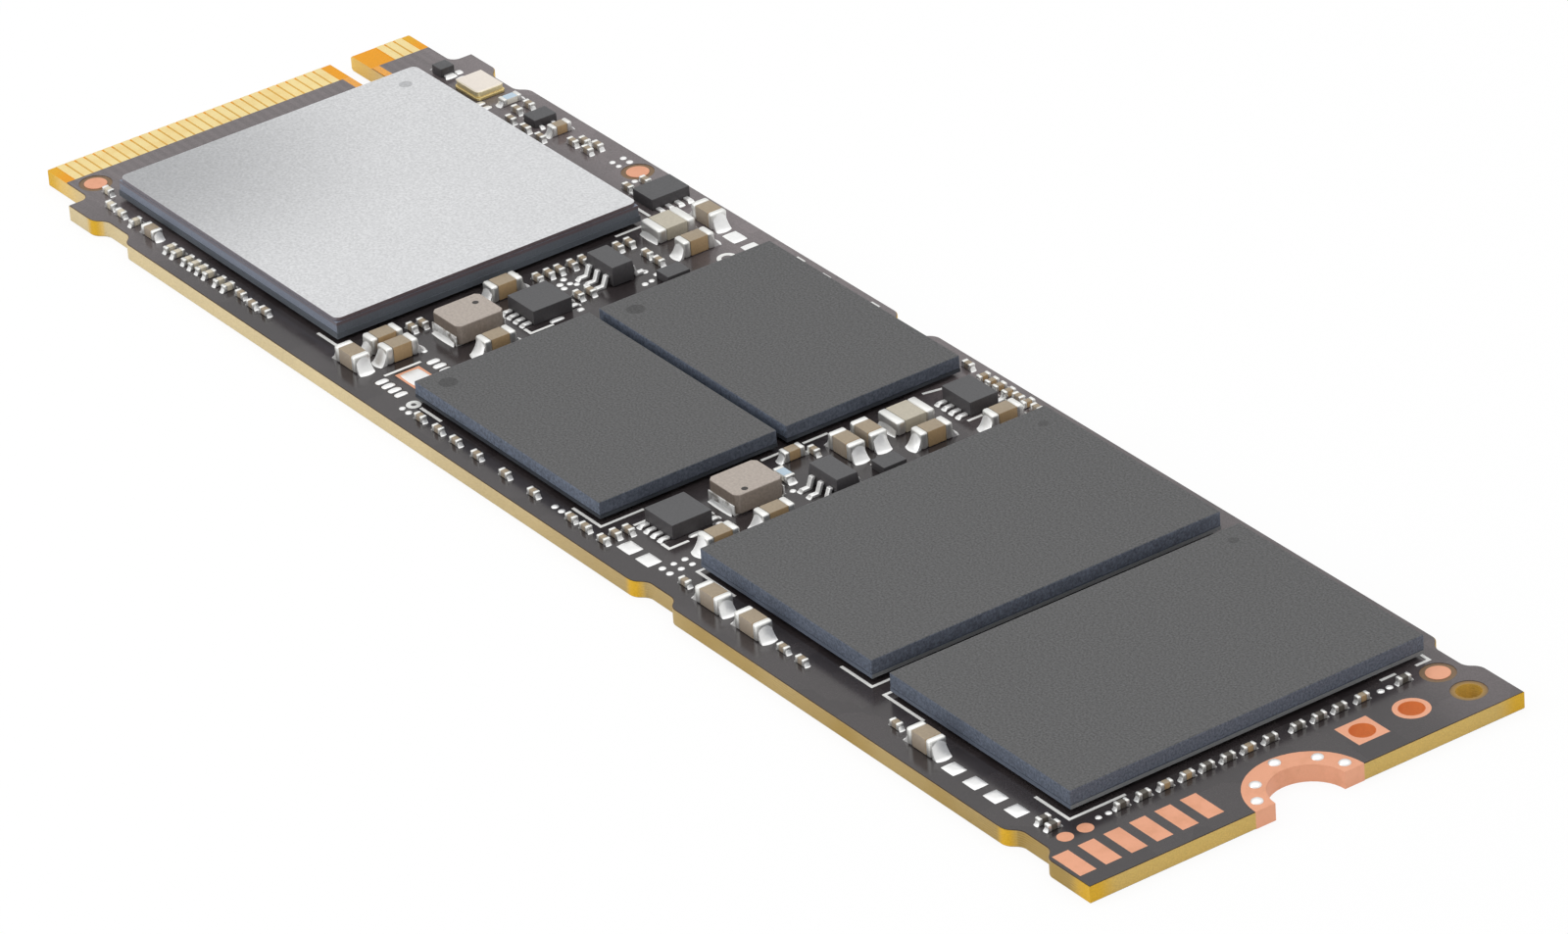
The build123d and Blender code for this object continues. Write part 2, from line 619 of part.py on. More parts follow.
# Chip capacitors and resistors
chip_part("tiny_capacitor", TINY_CAPACITOR, TINY_ALONG, TINY_ACROSS)
chip_part("small_capacitor", SMALL_CAPACITOR, SMALL_ALONG, SMALL_ACROSS)
chip_part("medium_capacitor", MEDIUM_CAPACITOR, MEDIUM_ALONG, MEDIUM_ACROSS)
chip_part("large_capacitor", LARGE_CAPACITOR, [], LARGE_ACROSS)
chip_part("resistor", RESISTOR, RESISTOR_ALONG, RESISTOR_ACROSS)

# Inductor bodies stand on the feet of their straps
with BuildPart() as inductor_bodies:
    with BuildSketch(Plane.XY.offset(BOARD_THICKNESS + STRAP_THICKNESS)):
        with Locations(*INDUCTORS):
            Rectangle(INDUCTOR_LENGTH, INDUCTOR_WIDTH)
    extrude(amount=INDUCTOR_HEIGHT - STRAP_THICKNESS)
    chamfer(inductor_bodies.edges().filter_by(Axis.Z), INDUCTOR_CORNER)
save(inductor_bodies.part, "inductor_bodies")

# Inductor straps: a foot under the body and a rise against its end
with BuildPart() as inductor_straps:
    for x, y in INDUCTORS:
        for side in (-1, 1):
            end = INDUCTOR_WIDTH / 2
            end_plane = Plane((x, y, BOARD_THICKNESS), x_dir=(0, side, 0), z_dir=(side, 0, 0))
            with BuildSketch(end_plane):
                with BuildLine():
                    Polyline(
                        (end - STRAP_FOOT, 0), (end + STRAP_THICKNESS, 0), (end + STRAP_THICKNESS, STRAP_RISE),
                        (end, STRAP_RISE), (end, STRAP_THICKNESS), (end - STRAP_FOOT, STRAP_THICKNESS),
                        close=True,
                    )
                make_face()
    extrude(amount=STRAP_WIDTH / 2, both=True)
save(inductor_straps.part, "inductor_straps")


def flat_chip(name, groups, height, toe_sizes):
    """Flat no-lead bodies and the toes round them; a group has places, length, width, toes and sides."""
    pitch, toe_width, reach, toe_height = toe_sizes
    with BuildPart() as bodies:
        for places, length, width, per_side, sides in groups:
            with Locations(*upright(places)):
                Box(length, width, height, align=ON_SURFACE)
    save(bodies.part, f"{name}_bodies")
    with BuildPart() as toes:
        for places, length, width, per_side, sides in groups:
            with Locations(*upright(places)):
                with Locations(*toe_rows(length, width, pitch, reach, per_side, sides)):
                    Box(reach, toe_width, toe_height, align=ON_SURFACE)
    save(toes.part, f"{name}_toes")


# Regulators, serial memory chip and small logic chips
NEAR_AND_FAR = (-90, 90)
BOTH_ENDS = (0, 180)
flat_chip(
    "regulator",
    [
        (SQUARE_REGULATORS, REGULATOR_SIDE, REGULATOR_SIDE, 4, NEAR_AND_FAR),
        (SLIM_REGULATORS, REGULATOR_SIDE, REGULATOR_SLIM_SIDE, 4, NEAR_AND_FAR),
    ],
    REGULATOR_HEIGHT, (TOE_PITCH, TOE_WIDTH, TOE_REACH, TOE_HEIGHT),
)
flat_chip(
    "serial_memory",
    [(SERIAL_CHIPS, SERIAL_LENGTH, SERIAL_WIDTH, 4, BOTH_ENDS)],
    SERIAL_HEIGHT, (TOE_PITCH, TOE_WIDTH, TOE_REACH, TOE_HEIGHT),
)
flat_chip(
    "logic_chip",
    [(LOGIC_CHIPS, LOGIC_LENGTH, LOGIC_WIDTH, 2, BOTH_ENDS)],
    LOGIC_HEIGHT, (LOGIC_TOE_PITCH, LOGIC_TOE_WIDTH, LOGIC_TOE_REACH, TOE_HEIGHT),
)

# Small-outline bodies, widest where the leads come out
with BuildPart() as outline_chip_bodies:
    for spot in OUTLINE_CHIPS:
        for level, draft in ((OUTLINE_STANDOFF, OUTLINE_DRAFT), (LEAD_EXIT, 0), (OUTLINE_HEIGHT, OUTLINE_DRAFT)):
            with BuildSketch(Plane.XY.offset(BOARD_THICKNESS + level)):
                with Locations(spot):
                    Rectangle(OUTLINE_LENGTH - 2 * draft, OUTLINE_WIDTH - 2 * draft)
        loft(ruled=True)
save(outline_chip_bodies.part, "outline_chip_bodies")

# Gull-wing leads: three on the near side, two on the far side
with BuildPart() as outline_chip_leads:
    for x, y in OUTLINE_CHIPS:
        for side, steps in ((-1, (-1, 0, 1)), (1, (-1, 1))):
            for step in steps:
                root = (x + step * LEAD_PITCH, y + side * OUTLINE_WIDTH / 2, BOARD_THICKNESS)
                with BuildSketch(Plane(root, x_dir=(0, side, 0), z_dir=(side, 0, 0))):
                    with BuildLine():
                        upper = LEAD_EXIT + LEAD_THICKNESS / 2
                        lower = LEAD_EXIT - LEAD_THICKNESS / 2
                        knee = LEAD_SHELF + LEAD_DROP
                        Polyline(
                            (0, lower), (0, upper), (LEAD_SHELF, upper), (knee, LEAD_THICKNESS),
                            (LEAD_REACH, LEAD_THICKNESS), (LEAD_REACH, 0), (knee - LEAD_THICKNESS, 0),
                            (LEAD_SHELF - LEAD_THICKNESS, lower), close=True,
                        )
                    make_face()
    extrude(amount=LEAD_WIDTH / 2, both=True)
save(outline_chip_leads.part, "outline_chip_leads")

# Diode with a flat tab at each end
with BuildPart() as diode_body:
    with Locations(*upright(DIODES)):
        Box(DIODE_LENGTH, DIODE_WIDTH, DIODE_HEIGHT, align=ON_SURFACE)
save(diode_body.part, "diode_body")

with BuildPart() as diode_tabs:
    with Locations(*upright(DIODES)):
        tab_x = (DIODE_LENGTH + DIODE_TAB_REACH) / 2
        with Locations((tab_x, 0, 0), (-tab_x, 0, 0)):
            Box(DIODE_TAB_REACH, DIODE_TAB_WIDTH, DIODE_TAB_THICKNESS, align=ON_SURFACE)
save(diode_tabs.part, "diode_tabs")

# Crystal: ceramic base and seam-welded lid
with BuildPart() as crystal_base:
    with Locations(*upright(CRYSTALS)):
        Box(CRYSTAL_LENGTH, CRYSTAL_WIDTH, CRYSTAL_BASE, align=ON_SURFACE)
save(crystal_base.part, "crystal_base")

with BuildPart() as crystal_lid:
    with Locations(*upright(CRYSTALS, BOARD_THICKNESS + CRYSTAL_BASE)):
        Box(
            CRYSTAL_LENGTH - 2 * CRYSTAL_LID_INSET, CRYSTAL_WIDTH - 2 * CRYSTAL_LID_INSET, CRYSTAL_LID,
            align=ON_SURFACE,
        )
    chamfer(crystal_lid.edges().group_by(Axis.Z)[-1], CRYSTAL_LID_CHAMFER)
save(crystal_lid.part, "crystal_lid")
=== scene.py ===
"""Looks of a bare solid-state drive on a card-edge board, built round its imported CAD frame."""

import math
import random
from typing import NamedTuple

import bmesh
import bpy
from bpy.props import FloatProperty, FloatVectorProperty, PointerProperty
from mathutils import Matrix, Vector


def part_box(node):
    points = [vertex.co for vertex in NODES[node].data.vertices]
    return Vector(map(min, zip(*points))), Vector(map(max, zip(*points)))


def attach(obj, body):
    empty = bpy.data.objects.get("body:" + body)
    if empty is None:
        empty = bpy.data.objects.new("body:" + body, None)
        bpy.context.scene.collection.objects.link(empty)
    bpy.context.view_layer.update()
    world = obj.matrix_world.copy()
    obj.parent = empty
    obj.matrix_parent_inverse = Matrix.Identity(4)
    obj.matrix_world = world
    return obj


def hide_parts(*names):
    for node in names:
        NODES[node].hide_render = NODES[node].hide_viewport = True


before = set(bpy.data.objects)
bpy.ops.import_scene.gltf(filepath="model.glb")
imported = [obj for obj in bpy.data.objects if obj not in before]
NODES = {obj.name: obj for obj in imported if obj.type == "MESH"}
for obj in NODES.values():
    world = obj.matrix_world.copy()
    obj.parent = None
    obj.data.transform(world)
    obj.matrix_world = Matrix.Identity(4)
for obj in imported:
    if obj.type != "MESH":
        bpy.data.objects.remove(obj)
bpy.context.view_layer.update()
MM = 0.001
CONTACT_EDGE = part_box("circuit_board")[0].x
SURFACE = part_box("solder_mask_top")[1].z

bl_info = {
    "name": "Bare solid-state drive",
    "version": (1, 0, 0),
    "blender": (4, 5, 0),
    "location": "3D View > Sidebar > Drive",
    "description": "Dresses the packed CAD model of a card-edge solid-state drive",
    "category": "Object",
}


def colour(what, default):
    """A thing's colour, which a user may change."""
    return FloatVectorProperty(
        name=what.capitalize(), description="Colour of the " + what,
        subtype="COLOR", min=0.0, max=1.0, default=default,
    )


def size(name, description, millimetres):
    """A length that a user may change, kept in metres."""
    return FloatProperty(
        name=name, description=description, default=millimetres * MM, min=0.0, unit="LENGTH", precision=5,
    )


def rounding(what, millimetres):
    """The radius of a thing's rounded edges, which a user may change."""
    return size("Rounded " + what, "Radius of the rounding on the " + what, millimetres)


def power(name, description, watts):
    """A lamp's power that a user may change."""
    return FloatProperty(name=name, description=description, default=watts, min=0.0, unit="POWER")


class BoardLook(bpy.types.PropertyGroup):
    """Colours and sizes of the board and its printed and plated marks."""

    film: colour("mask over bare laminate", (0.029, 0.0235, 0.0245))
    film_copper: colour("mask over copper", (0.037, 0.0305, 0.0315))
    # Painted sheen: the mask's colour where glancing light lightens it, by the contacts and the far edge
    film_painted_sheen: colour("mask where it is lightest", (0.157, 0.132, 0.136))
    edge_pale: colour("long cut edges by the contacts", (0.63, 0.515, 0.295))
    edge_amber: colour("long cut edges further on", (0.305, 0.185, 0.022))
    edge_end: colour("cut edge at the mounting end", (0.60, 0.415, 0.120))
    edge_tongue: colour("cut edges round the tongue", (0.80, 0.52, 0.11))
    corner_amber: colour("corners that light comes through", (0.66, 0.385, 0.02))
    tongue: colour("bare laminate round the contacts", (0.76, 0.315, 0.008))
    gap: colour("laminate between the contacts", (0.66, 0.42, 0.11))
    opening: colour("bare laminate in the mask's openings", (0.20, 0.13, 0.075))
    gold: colour("edge contacts", (0.98, 0.80, 0.38))
    gold_worn: colour("contacts where they are rubbed", (0.94, 0.70, 0.28))
    copper: colour("bare copper", (0.79, 0.385, 0.238))
    copper_dull: colour("copper where it has dulled", (0.70, 0.33, 0.192))
    # Painted light and shade: the holes' copper is the same copper, painted oranger on their walls
    bore: colour("copper inside the plated holes", (0.82, 0.30, 0.09))
    print_white: colour("printed lines", (0.80, 0.80, 0.78))
    print_height: size("Silkscreen height", "How far the print stands above the mask", 0.012)
    line_width: size("Line width", "Width of the straight printed lines", 0.15)
    round_width: size("Round line width", "Width of the printed ring and arc", 0.21)
    border_width: size("Land border", "Width of the copper round the largest tinned land", 0.16)
    recess_round: rounding("corners of the break-off recesses", 0.24)
    opening_round: rounding("corners of many-sided openings", 0.06)


class PackageLook(bpy.types.PropertyGroup):
    """Colours and sizes of the large packages."""

    moulding: colour("package tops", (0.087, 0.087, 0.088))
    # Painted light and shade: long walls lighter than the end walls of the same moulding
    memory_wall: colour("memory packages' long walls", (0.118, 0.140, 0.185))
    memory_end: colour("memory packages' end walls", (0.080, 0.092, 0.120))
    memory_base: colour("memory packages' bases", (0.034, 0.040, 0.050))
    flash_wall: colour("flash packages' long walls", (0.110, 0.130, 0.172))
    flash_end: colour("flash packages' end walls", (0.117, 0.132, 0.168))
    # Only on the flash bases' end walls, lighter than their long walls: painted light and shade
    flash_base: colour("flash packages' bases", (0.19, 0.195, 0.20))
    spreader: colour("controller's metal top", (0.69, 0.695, 0.705))
    # Painted shade on the metal top's near left corner; the round mark on the top takes this colour too
    spreader_painted_shade_and_mark: colour("metal top's near left corner", (0.43, 0.435, 0.445))
    spreader_rim: colour("metal top's long edges", (0.178, 0.163, 0.185))
    spreader_rim_end: colour("metal top's end edges", (0.118, 0.088, 0.096))
    # Painted light and shade: long walls lighter than the end walls of the same moulding
    controller_wall: colour("controller's long walls", (0.205, 0.23, 0.29))
    controller_end: colour("controller's end walls", (0.112, 0.124, 0.146))
    controller_base: colour("controller's base", (0.092, 0.104, 0.122))
    ball: colour("solder balls", (0.62, 0.62, 0.61))
    package_round: rounding("memory and flash packages", 0.05)
    spreader_round: rounding("rim of the metal top", 0.03)
    rim_depth: size("Rim depth", "How far the rim's colour runs down the controller's moulding", 0.15)


class PartLook(bpy.types.PropertyGroup):
    """Colours and sizes of the small parts."""

    ceramic: colour("chip capacitors' tops", (0.31, 0.245, 0.165))
    # Painted light and shade: walls facing along the board are lighter and oranger than walls facing across
    # it
    ceramic_side: colour("chip capacitors' long walls", (0.32, 0.265, 0.205))
    ceramic_end: colour("chip capacitors' end walls", (0.45, 0.305, 0.16))
    ceramic_pale: colour("tiny parts by the controller", (0.62, 0.56, 0.44))
    ceramic_dark: colour("dark tiny parts", (0.10, 0.088, 0.072))
    large_ceramic: colour("large capacitors", (0.46, 0.42, 0.335))
    tin: colour("tinned terminals", (0.85, 0.81, 0.72))
    solder: colour("solder fillets", (0.93, 0.93, 0.92))
    chip: colour("small chips' tops", (0.075, 0.075, 0.078))
    chip_wall: colour("small chips' walls", (0.058, 0.054, 0.057))
    inductor: colour("inductors' tops", (0.385, 0.335, 0.295))
    # Painted light and shade: walls facing along the board are lighter than walls facing across it
    inductor_wall: colour("inductors' long walls", (0.15, 0.118, 0.095))
    inductor_end: colour("inductors' end walls", (0.27, 0.225, 0.19))
    inductor_mark: colour("dot on an inductor", (0.035, 0.03, 0.028))
    strap_shade: colour("straps where tin is missing", (0.17, 0.14, 0.11))
    glaze: colour("resistors' tops", (0.46, 0.58, 0.68))
    lid: colour("crystal's lid", (0.86, 0.79, 0.71))
    lid_wall: colour("crystal lid's edge", (0.95, 0.82, 0.48))
    lid_base: colour("crystal's sides", (0.78, 0.62, 0.28))
    tiny_round: rounding("tiny terminals", 0.05)
    small_round: rounding("small terminals", 0.077)
    chip_round: rounding("larger terminals", 0.11)
    body_round: rounding("ceramic and moulded bodies", 0.03)
    toe_round: rounding("chips' toes and leads", 0.05)
    inductor_round: rounding("inductors", 0.06)
    strap_round: rounding("inductors' straps", 0.025)
    crystal_corner: rounding("upright corners of the crystal", 0.22)
    foot_round: rounding("crystal's base", 0.04)
    lid_round: rounding("crystal's lid", 0.03)


class SolderLook(bpy.types.PropertyGroup):
    """Sizes of the solder."""

    dot_radius: size("Dot radius", "Radius of the round tinned dots", 0.155)
    dot_height: size("Dot height", "Height of the round tinned dots", 0.05)
    ring_radius: size("Ring dot radius", "Radius of the solder dots on the mounting ring", 0.27)
    ring_height: size("Ring dot height", "Height of the solder dots on the mounting ring", 0.1)
    toe_reach: size("Toe reach", "How far solder runs out from a chip's toe", 0.17)
    patch_height: size("Patch height", "Height of the solder beside the chips", 0.06)
    land_height: size("Land height", "How far solder domes over a tinned land", 0.05)


class StageLook(bpy.types.PropertyGroup):
    """Floor, light and sky."""

    floor: colour("floor", (0.90, 0.90, 0.90))
    key_power: power("Key power", "Power of the lamp above and behind", 0.135)
    fill_power: power("Fill power", "Power of the lamp at the near side", 0.10)
    sky: FloatProperty(name="Sky", description="Strength of the even light all round", default=0.80, min=0.0)


LOOKS = {
    "drive_board": BoardLook,
    "drive_packages": PackageLook,
    "drive_parts": PartLook,
    "drive_solder": SolderLook,
    "drive_stage": StageLook,
}


# Shader node groups

FLOAT, COLOUR, VECTOR = "NodeSocketFloat", "NodeSocketColor", "NodeSocketVector"
MID_GREY = (0.5, 0.5, 0.5, 1.0)

# Noises: how many times they repeat in a metre, and their detail
DRIFT_NOISE = 160.0
PATCH_NOISE = 140.0
WANDER_NOISE = 900.0
AREA_CELLS = 520.0
PLAIN_DETAIL = 2.0
WANDER_DETAIL = 3.0
GRAIN_ROUGHNESS = 0.6

# Limits between which a value turns from none to all
UPWARD = (0.35, 0.9)
LENGTHWISE = (0.5, 0.85)
TRACK_WAVE = (-0.3, 0.5)
AREA_SHARE = (0.35, 0.5)
LAYER_WAVE = (-0.8, 0.9)
PATCH_SHARE = (0.4, 0.62)

TRACKS_FULL = 2.0
LAYER_WANDER = 1.2


def start_group(name, inputs, outputs):
    """An empty shader group with named sockets, what it is given and what it results in."""
    tree = bpy.data.node_groups.new(name, "ShaderNodeTree")
    for label, kind, default in inputs:
        socket = tree.interface.new_socket(name=label, in_out="INPUT", socket_type=kind)
        socket.default_value = default
    for label, kind in outputs:
        tree.interface.new_socket(name=label, in_out="OUTPUT", socket_type=kind)
    return tree, tree.nodes.new("NodeGroupInput").outputs, tree.nodes.new("NodeGroupOutput").inputs


def feed(tree, sockets, **values):
    """Sets or links sockets by name, or by number after a _; colours get full alpha."""
    for key, value in values.items():
        socket = sockets[int(key[1:])] if key[0] == "_" else sockets[key.replace("_", " ")]
        if isinstance(value, bpy.types.NodeSocket):
            tree.links.new(value, socket)
        else:
            socket.default_value = (*value, 1.0) if socket.type == "RGBA" else value


def add_node(tree, kind, settings=None, **inputs):
    """A node with its settings and inputs."""
    node = tree.nodes.new(kind)
    for key, value in (settings or {}).items():
        setattr(node, key, value)
    feed(tree, node.inputs, **inputs)
    return node


def maths(tree, operation, first, second=0.0):
    """The result of one sum."""
    return add_node(tree, "ShaderNodeMath", {"operation": operation}, _0=first, _1=second).outputs[0]


def times(tree, first, second):
    """The product of two values."""
    return maths(tree, "MULTIPLY", first, second)


def rest_of(tree, share):
    """What a share leaves of 1."""
    return maths(tree, "SUBTRACT", 1.0, share)


def wave(tree, turns):
    """The sine of a number of turns."""
    return maths(tree, "SINE", times(tree, turns, 2.0 * math.pi))


def vector_sum(tree, operation, **inputs):
    """The results of one sum on vectors."""
    return add_node(tree, "ShaderNodeVectorMath", {"operation": operation}, **inputs).outputs


def blend(tree, share, first, second):
    """A colour between two others."""
    return add_node(tree, "ShaderNodeMix", {"data_type": "RGBA"}, _0=share, _6=first, _7=second).outputs[2]


def ramp_between(tree, value, low, high):
    """A smooth step from 0 at low to 1 at high."""
    smooth = {"interpolation_type": "SMOOTHSTEP"}
    return add_node(tree, "ShaderNodeMapRange", smooth, Value=value, From_Min=low, From_Max=high).outputs[0]


def span(tree, share, low, high):
    """A value that runs evenly from low to high with a share."""
    return add_node(tree, "ShaderNodeMapRange", Value=share, To_Min=low, To_Max=high).outputs[0]


def place(tree):
    """The place on the part, in metres."""
    return tree.nodes.new("ShaderNodeTexCoord").outputs["Object"]


def split(tree, vector):
    """The three parts of a vector."""
    return add_node(tree, "ShaderNodeSeparateXYZ", Vector=vector).outputs


def noise(tree, scale, detail, roughness=0.5):
    """Soft noise over the part, from 0 to 1."""
    node = add_node(
        tree, "ShaderNodeTexNoise", Vector=place(tree), Scale=scale, Detail=detail, Roughness=roughness,
    )
    return node.outputs[0]


def grain_group():
    """Fine grain: a colour speckled lighter and darker, and a height for a bump."""
    tree, given, result = start_group(
        "Fine grain",
        [
            ("Colour", COLOUR, MID_GREY),
            ("Grain size", FLOAT, 0.08 * MM),
            ("Contrast", FLOAT, 0.2),
            ("Drift", FLOAT, 0.05),
        ],
        [("Colour", COLOUR), ("Height", FLOAT), ("Drift", FLOAT)],
    )
    fine = noise(tree, maths(tree, "DIVIDE", 1.0, given["Grain size"]), PLAIN_DETAIL, GRAIN_ROUGHNESS)
    broad = noise(tree, DRIFT_NOISE, PLAIN_DETAIL)
    level = 1.0
    for texture, strength in ((fine, given["Contrast"]), (broad, given["Drift"])):
        level = maths(tree, "ADD", times(tree, maths(tree, "SUBTRACT", texture, 0.5), strength), level)
    shaded = vector_sum(tree, "SCALE", _0=given["Colour"], Scale=level)["Vector"]
    feed(tree, result, Colour=shaded, Height=fine, Drift=broad)
    return tree


def facing_group():
    """One colour on faces that look up, one on the long walls and one on the walls that close the ends."""
    tree, given, result = start_group(
        "Top and wall",
        [("Top", COLOUR, MID_GREY), ("Wall", COLOUR, MID_GREY), ("End", COLOUR, MID_GREY)],
        [("Colour", COLOUR), ("Top share", FLOAT)],
    )
    facing = split(tree, tree.nodes.new("ShaderNodeNewGeometry").outputs["Normal"])
    upward = ramp_between(tree, facing["Z"], *UPWARD)
    # Walls are told apart by the way they face, so wall and end colours can carry painted light and shade
    lengthwise = ramp_between(tree, maths(tree, "ABSOLUTE", facing["X"]), *LENGTHWISE)
    walls = blend(tree, lengthwise, given["Wall"], given["End"])
    feed(tree, result, Colour=blend(tree, upward, walls, given["Top"]), Top_share=upward)
    return tree


def mark_group():
    """A round mark: 1 inside a circle seen from above, 0 outside."""
    tree, given, result = start_group(
        "Round mark",
        [("Centre", VECTOR, (0.0, 0.0, 0.0)), ("Radius", FLOAT, 0.5 * MM), ("Softness", FLOAT, 0.12)],
        [("Mask", FLOAT)],
    )
    flat = vector_sum(tree, "MULTIPLY", _0=place(tree), _1=(1.0, 1.0, 0.0))["Vector"]
    away = vector_sum(tree, "DISTANCE", _0=flat, _1=given["Centre"])["Value"]
    inner = times(tree, given["Radius"], rest_of(tree, given["Softness"]))
    feed(tree, result, Mask=rest_of(tree, ramp_between(tree, away, inner, given["Radius"])))
    return tree


def buried_group():
    """Copper under the mask: fine tracks by the contacts and broad areas elsewhere, from 0 to 1."""
    tree, given, result = start_group(
        "Buried copper",
        [("Tracks from", FLOAT, CONTACT_EDGE + 6.0 * MM), ("Track pitch", FLOAT, 0.5 * MM)],
        [("Copper", FLOAT)],
    )
    spread = split(tree, place(tree))
    turns = maths(tree, "DIVIDE", spread["Y"], given["Track pitch"])
    tracks = ramp_between(tree, wave(tree, turns), *TRACK_WAVE)
    near_contacts = ramp_between(tree, spread["X"], given["Tracks from"], CONTACT_EDGE + TRACKS_FULL * MM)
    square = {"distance": "CHEBYCHEV", "feature": "F1"}
    cells = add_node(tree, "ShaderNodeTexVoronoi", square, Vector=place(tree), Scale=AREA_CELLS)
    areas = ramp_between(tree, split(tree, cells.outputs["Color"])["X"], *AREA_SHARE)
    copper = add_node(tree, "ShaderNodeMix", {"data_type": "FLOAT"}, _0=near_contacts, _2=areas, _3=tracks)
    feed(tree, result, Copper=copper.outputs[0])
    return tree


def strata_group():
    """Glass layers in a cut laminate edge: a value in thin level bands, and one in broad patches."""
    tree, given, result = start_group(
        "Laminate layers", [("Layer height", FLOAT, 0.11 * MM)], [("Layer", FLOAT), ("Patch", FLOAT)],
    )
    turns = maths(tree, "DIVIDE", split(tree, place(tree))["Z"], given["Layer height"])
    shift = times(tree, noise(tree, WANDER_NOISE, WANDER_DETAIL), LAYER_WANDER)
    bands = wave(tree, maths(tree, "ADD", turns, shift))
    layer = ramp_between(tree, bands, *LAYER_WAVE)
    patch = ramp_between(tree, noise(tree, PATCH_NOISE, PLAIN_DETAIL), *PATCH_SHARE)
    feed(tree, result, Layer=layer, Patch=patch)
    return tree


GROUP_MAKERS = {
    "Fine grain": grain_group,
    "Top and wall": facing_group,
    "Round mark": mark_group,
    "Buried copper": buried_group,
    "Laminate layers": strata_group,
}


def use_group(tree, name, **inputs):
    """The results of a shared group, built on first use."""
    shared = bpy.data.node_groups.get(name) or GROUP_MAKERS[name]()
    return add_node(tree, "ShaderNodeGroup", {"node_tree": shared}, **inputs).outputs


# Materials


class Finish(NamedTuple):
    """A surface's grain and bump depth in millimetres, its contrasts, roughness limits and bump."""

    grain: float
    contrast: float
    rough: tuple = ()
    bump: float = 0.0
    drift: float = 0.08
    depth: float = 0.01


FILM = Finish(grain=0.07, contrast=0.9, rough=(0.13, 0.24), bump=0.3, drift=0.3, depth=0.012)
LAMINATE = Finish(grain=0.06, contrast=0.55, bump=0.25, drift=0.25)
PLATING = Finish(grain=0.05, contrast=0.16, bump=0.15, drift=0.1, depth=0.006)
BORE = Finish(grain=0.06, contrast=0.2, rough=(0.48, 0.6), bump=0.15)
INK = Finish(grain=0.05, contrast=0.25, rough=(0.5, 0.7), bump=0.3, drift=0.1)
SPREADER = Finish(grain=0.13, contrast=0.62, rough=(0.46, 0.54), bump=0.22, drift=0.04)
BASE = Finish(grain=0.08, contrast=0.6, rough=(0.5, 0.62), bump=0.25)
BALL = Finish(grain=0.08, contrast=0.1, rough=(0.3, 0.45), bump=0.1, drift=0.1)
PACKAGE = Finish(grain=0.10, contrast=1.9, rough=(0.52, 0.62), bump=0.35)
CERAMIC = Finish(grain=0.1, contrast=0.4, rough=(0.35, 0.5), bump=0.2)
LARGE_CERAMIC = Finish(grain=0.1, contrast=0.4, rough=(0.4, 0.55), bump=0.2)
GLAZE = Finish(grain=0.08, contrast=0.2, rough=(0.25, 0.4), bump=0.1)
TIN = Finish(grain=0.12, contrast=0.14, rough=(0.22, 0.4), bump=0.5, drift=0.18)
SOLDER = Finish(grain=0.14, contrast=0.12, rough=(0.24, 0.4), bump=0.5, drift=0.2)
FERRITE = Finish(grain=0.12, contrast=0.7, rough=(0.55, 0.7), bump=0.45)
CHIP = Finish(grain=0.1, contrast=0.7, rough=(0.45, 0.6), bump=0.35)
LID = Finish(grain=0.1, contrast=0.15, rough=(0.35, 0.45), bump=0.2)
PAPER = Finish(grain=0.5, contrast=0.01, drift=0.0)


def start_material(name, **shader):
    """A new material, its node tree and its shader with plain values set."""
    made = bpy.data.materials.new(name)
    made.use_nodes = True
    tree = made.node_tree
    principled = tree.nodes["Principled BSDF"]
    feed(tree, principled.inputs, **shader)
    return made, tree, principled


def coat(tree, principled, tint, finish, relief=None):
    """Grains a tint and feeds it to the shader, with the finish's roughness and bump.

    The bump follows the grain, or a relief where one is given.
    """
    grain = use_group(
        tree, "Fine grain",
        Colour=tint, Grain_size=finish.grain * MM, Contrast=finish.contrast, Drift=finish.drift,
    )
    tree.links.new(grain["Colour"], principled.inputs["Base Color"])
    if finish.rough:
        tree.links.new(span(tree, grain["Drift"], *finish.rough), principled.inputs["Roughness"])
    if finish.bump:
        height = grain["Height"] if relief is None else relief
        bump = add_node(
            tree, "ShaderNodeBump", Strength=finish.bump, Distance=finish.depth * MM, Height=height,
        )
        tree.links.new(bump.outputs[0], principled.inputs["Normal"])


def grained(name, rgb, finish, **shader):
    """A material of one speckled colour."""
    made, tree, principled = start_material(name, **shader)
    coat(tree, principled, rgb, finish)
    return made


def moulded(name, top, wall, end, finish, marks=(), whole=False, band=None, **shader):
    """A body with its own top, wall and end colours.

    Marks give a centre, a radius and a colour, on top or on the whole body. A band gives a height, and
    the colours of the walls and of the ends above it.
    """
    made, tree, principled = start_material(name, **shader)
    if band:
        height, upper_wall, upper_end = band
        above = maths(tree, "GREATER_THAN", split(tree, place(tree))["Z"], height)
        wall = blend(tree, above, wall, upper_wall)
        end = blend(tree, above, end, upper_end)
    sides = use_group(tree, "Top and wall", Top=top, Wall=wall, End=end)
    tint = sides["Colour"]
    for centre, radius, mark_colour in marks:
        share = use_group(tree, "Round mark", Centre=centre, Radius=radius)["Mask"]
        if not whole:
            share = times(tree, share, sides["Top share"])
        tint = blend(tree, share, tint, mark_colour)
    coat(tree, principled, tint, finish)
    return made


DULL_NOISE = 900.0
DULL_DETAIL = 4.0
DULL_ROUGHNESS = 0.65
DULL_SHARE = (0.42, 0.75)


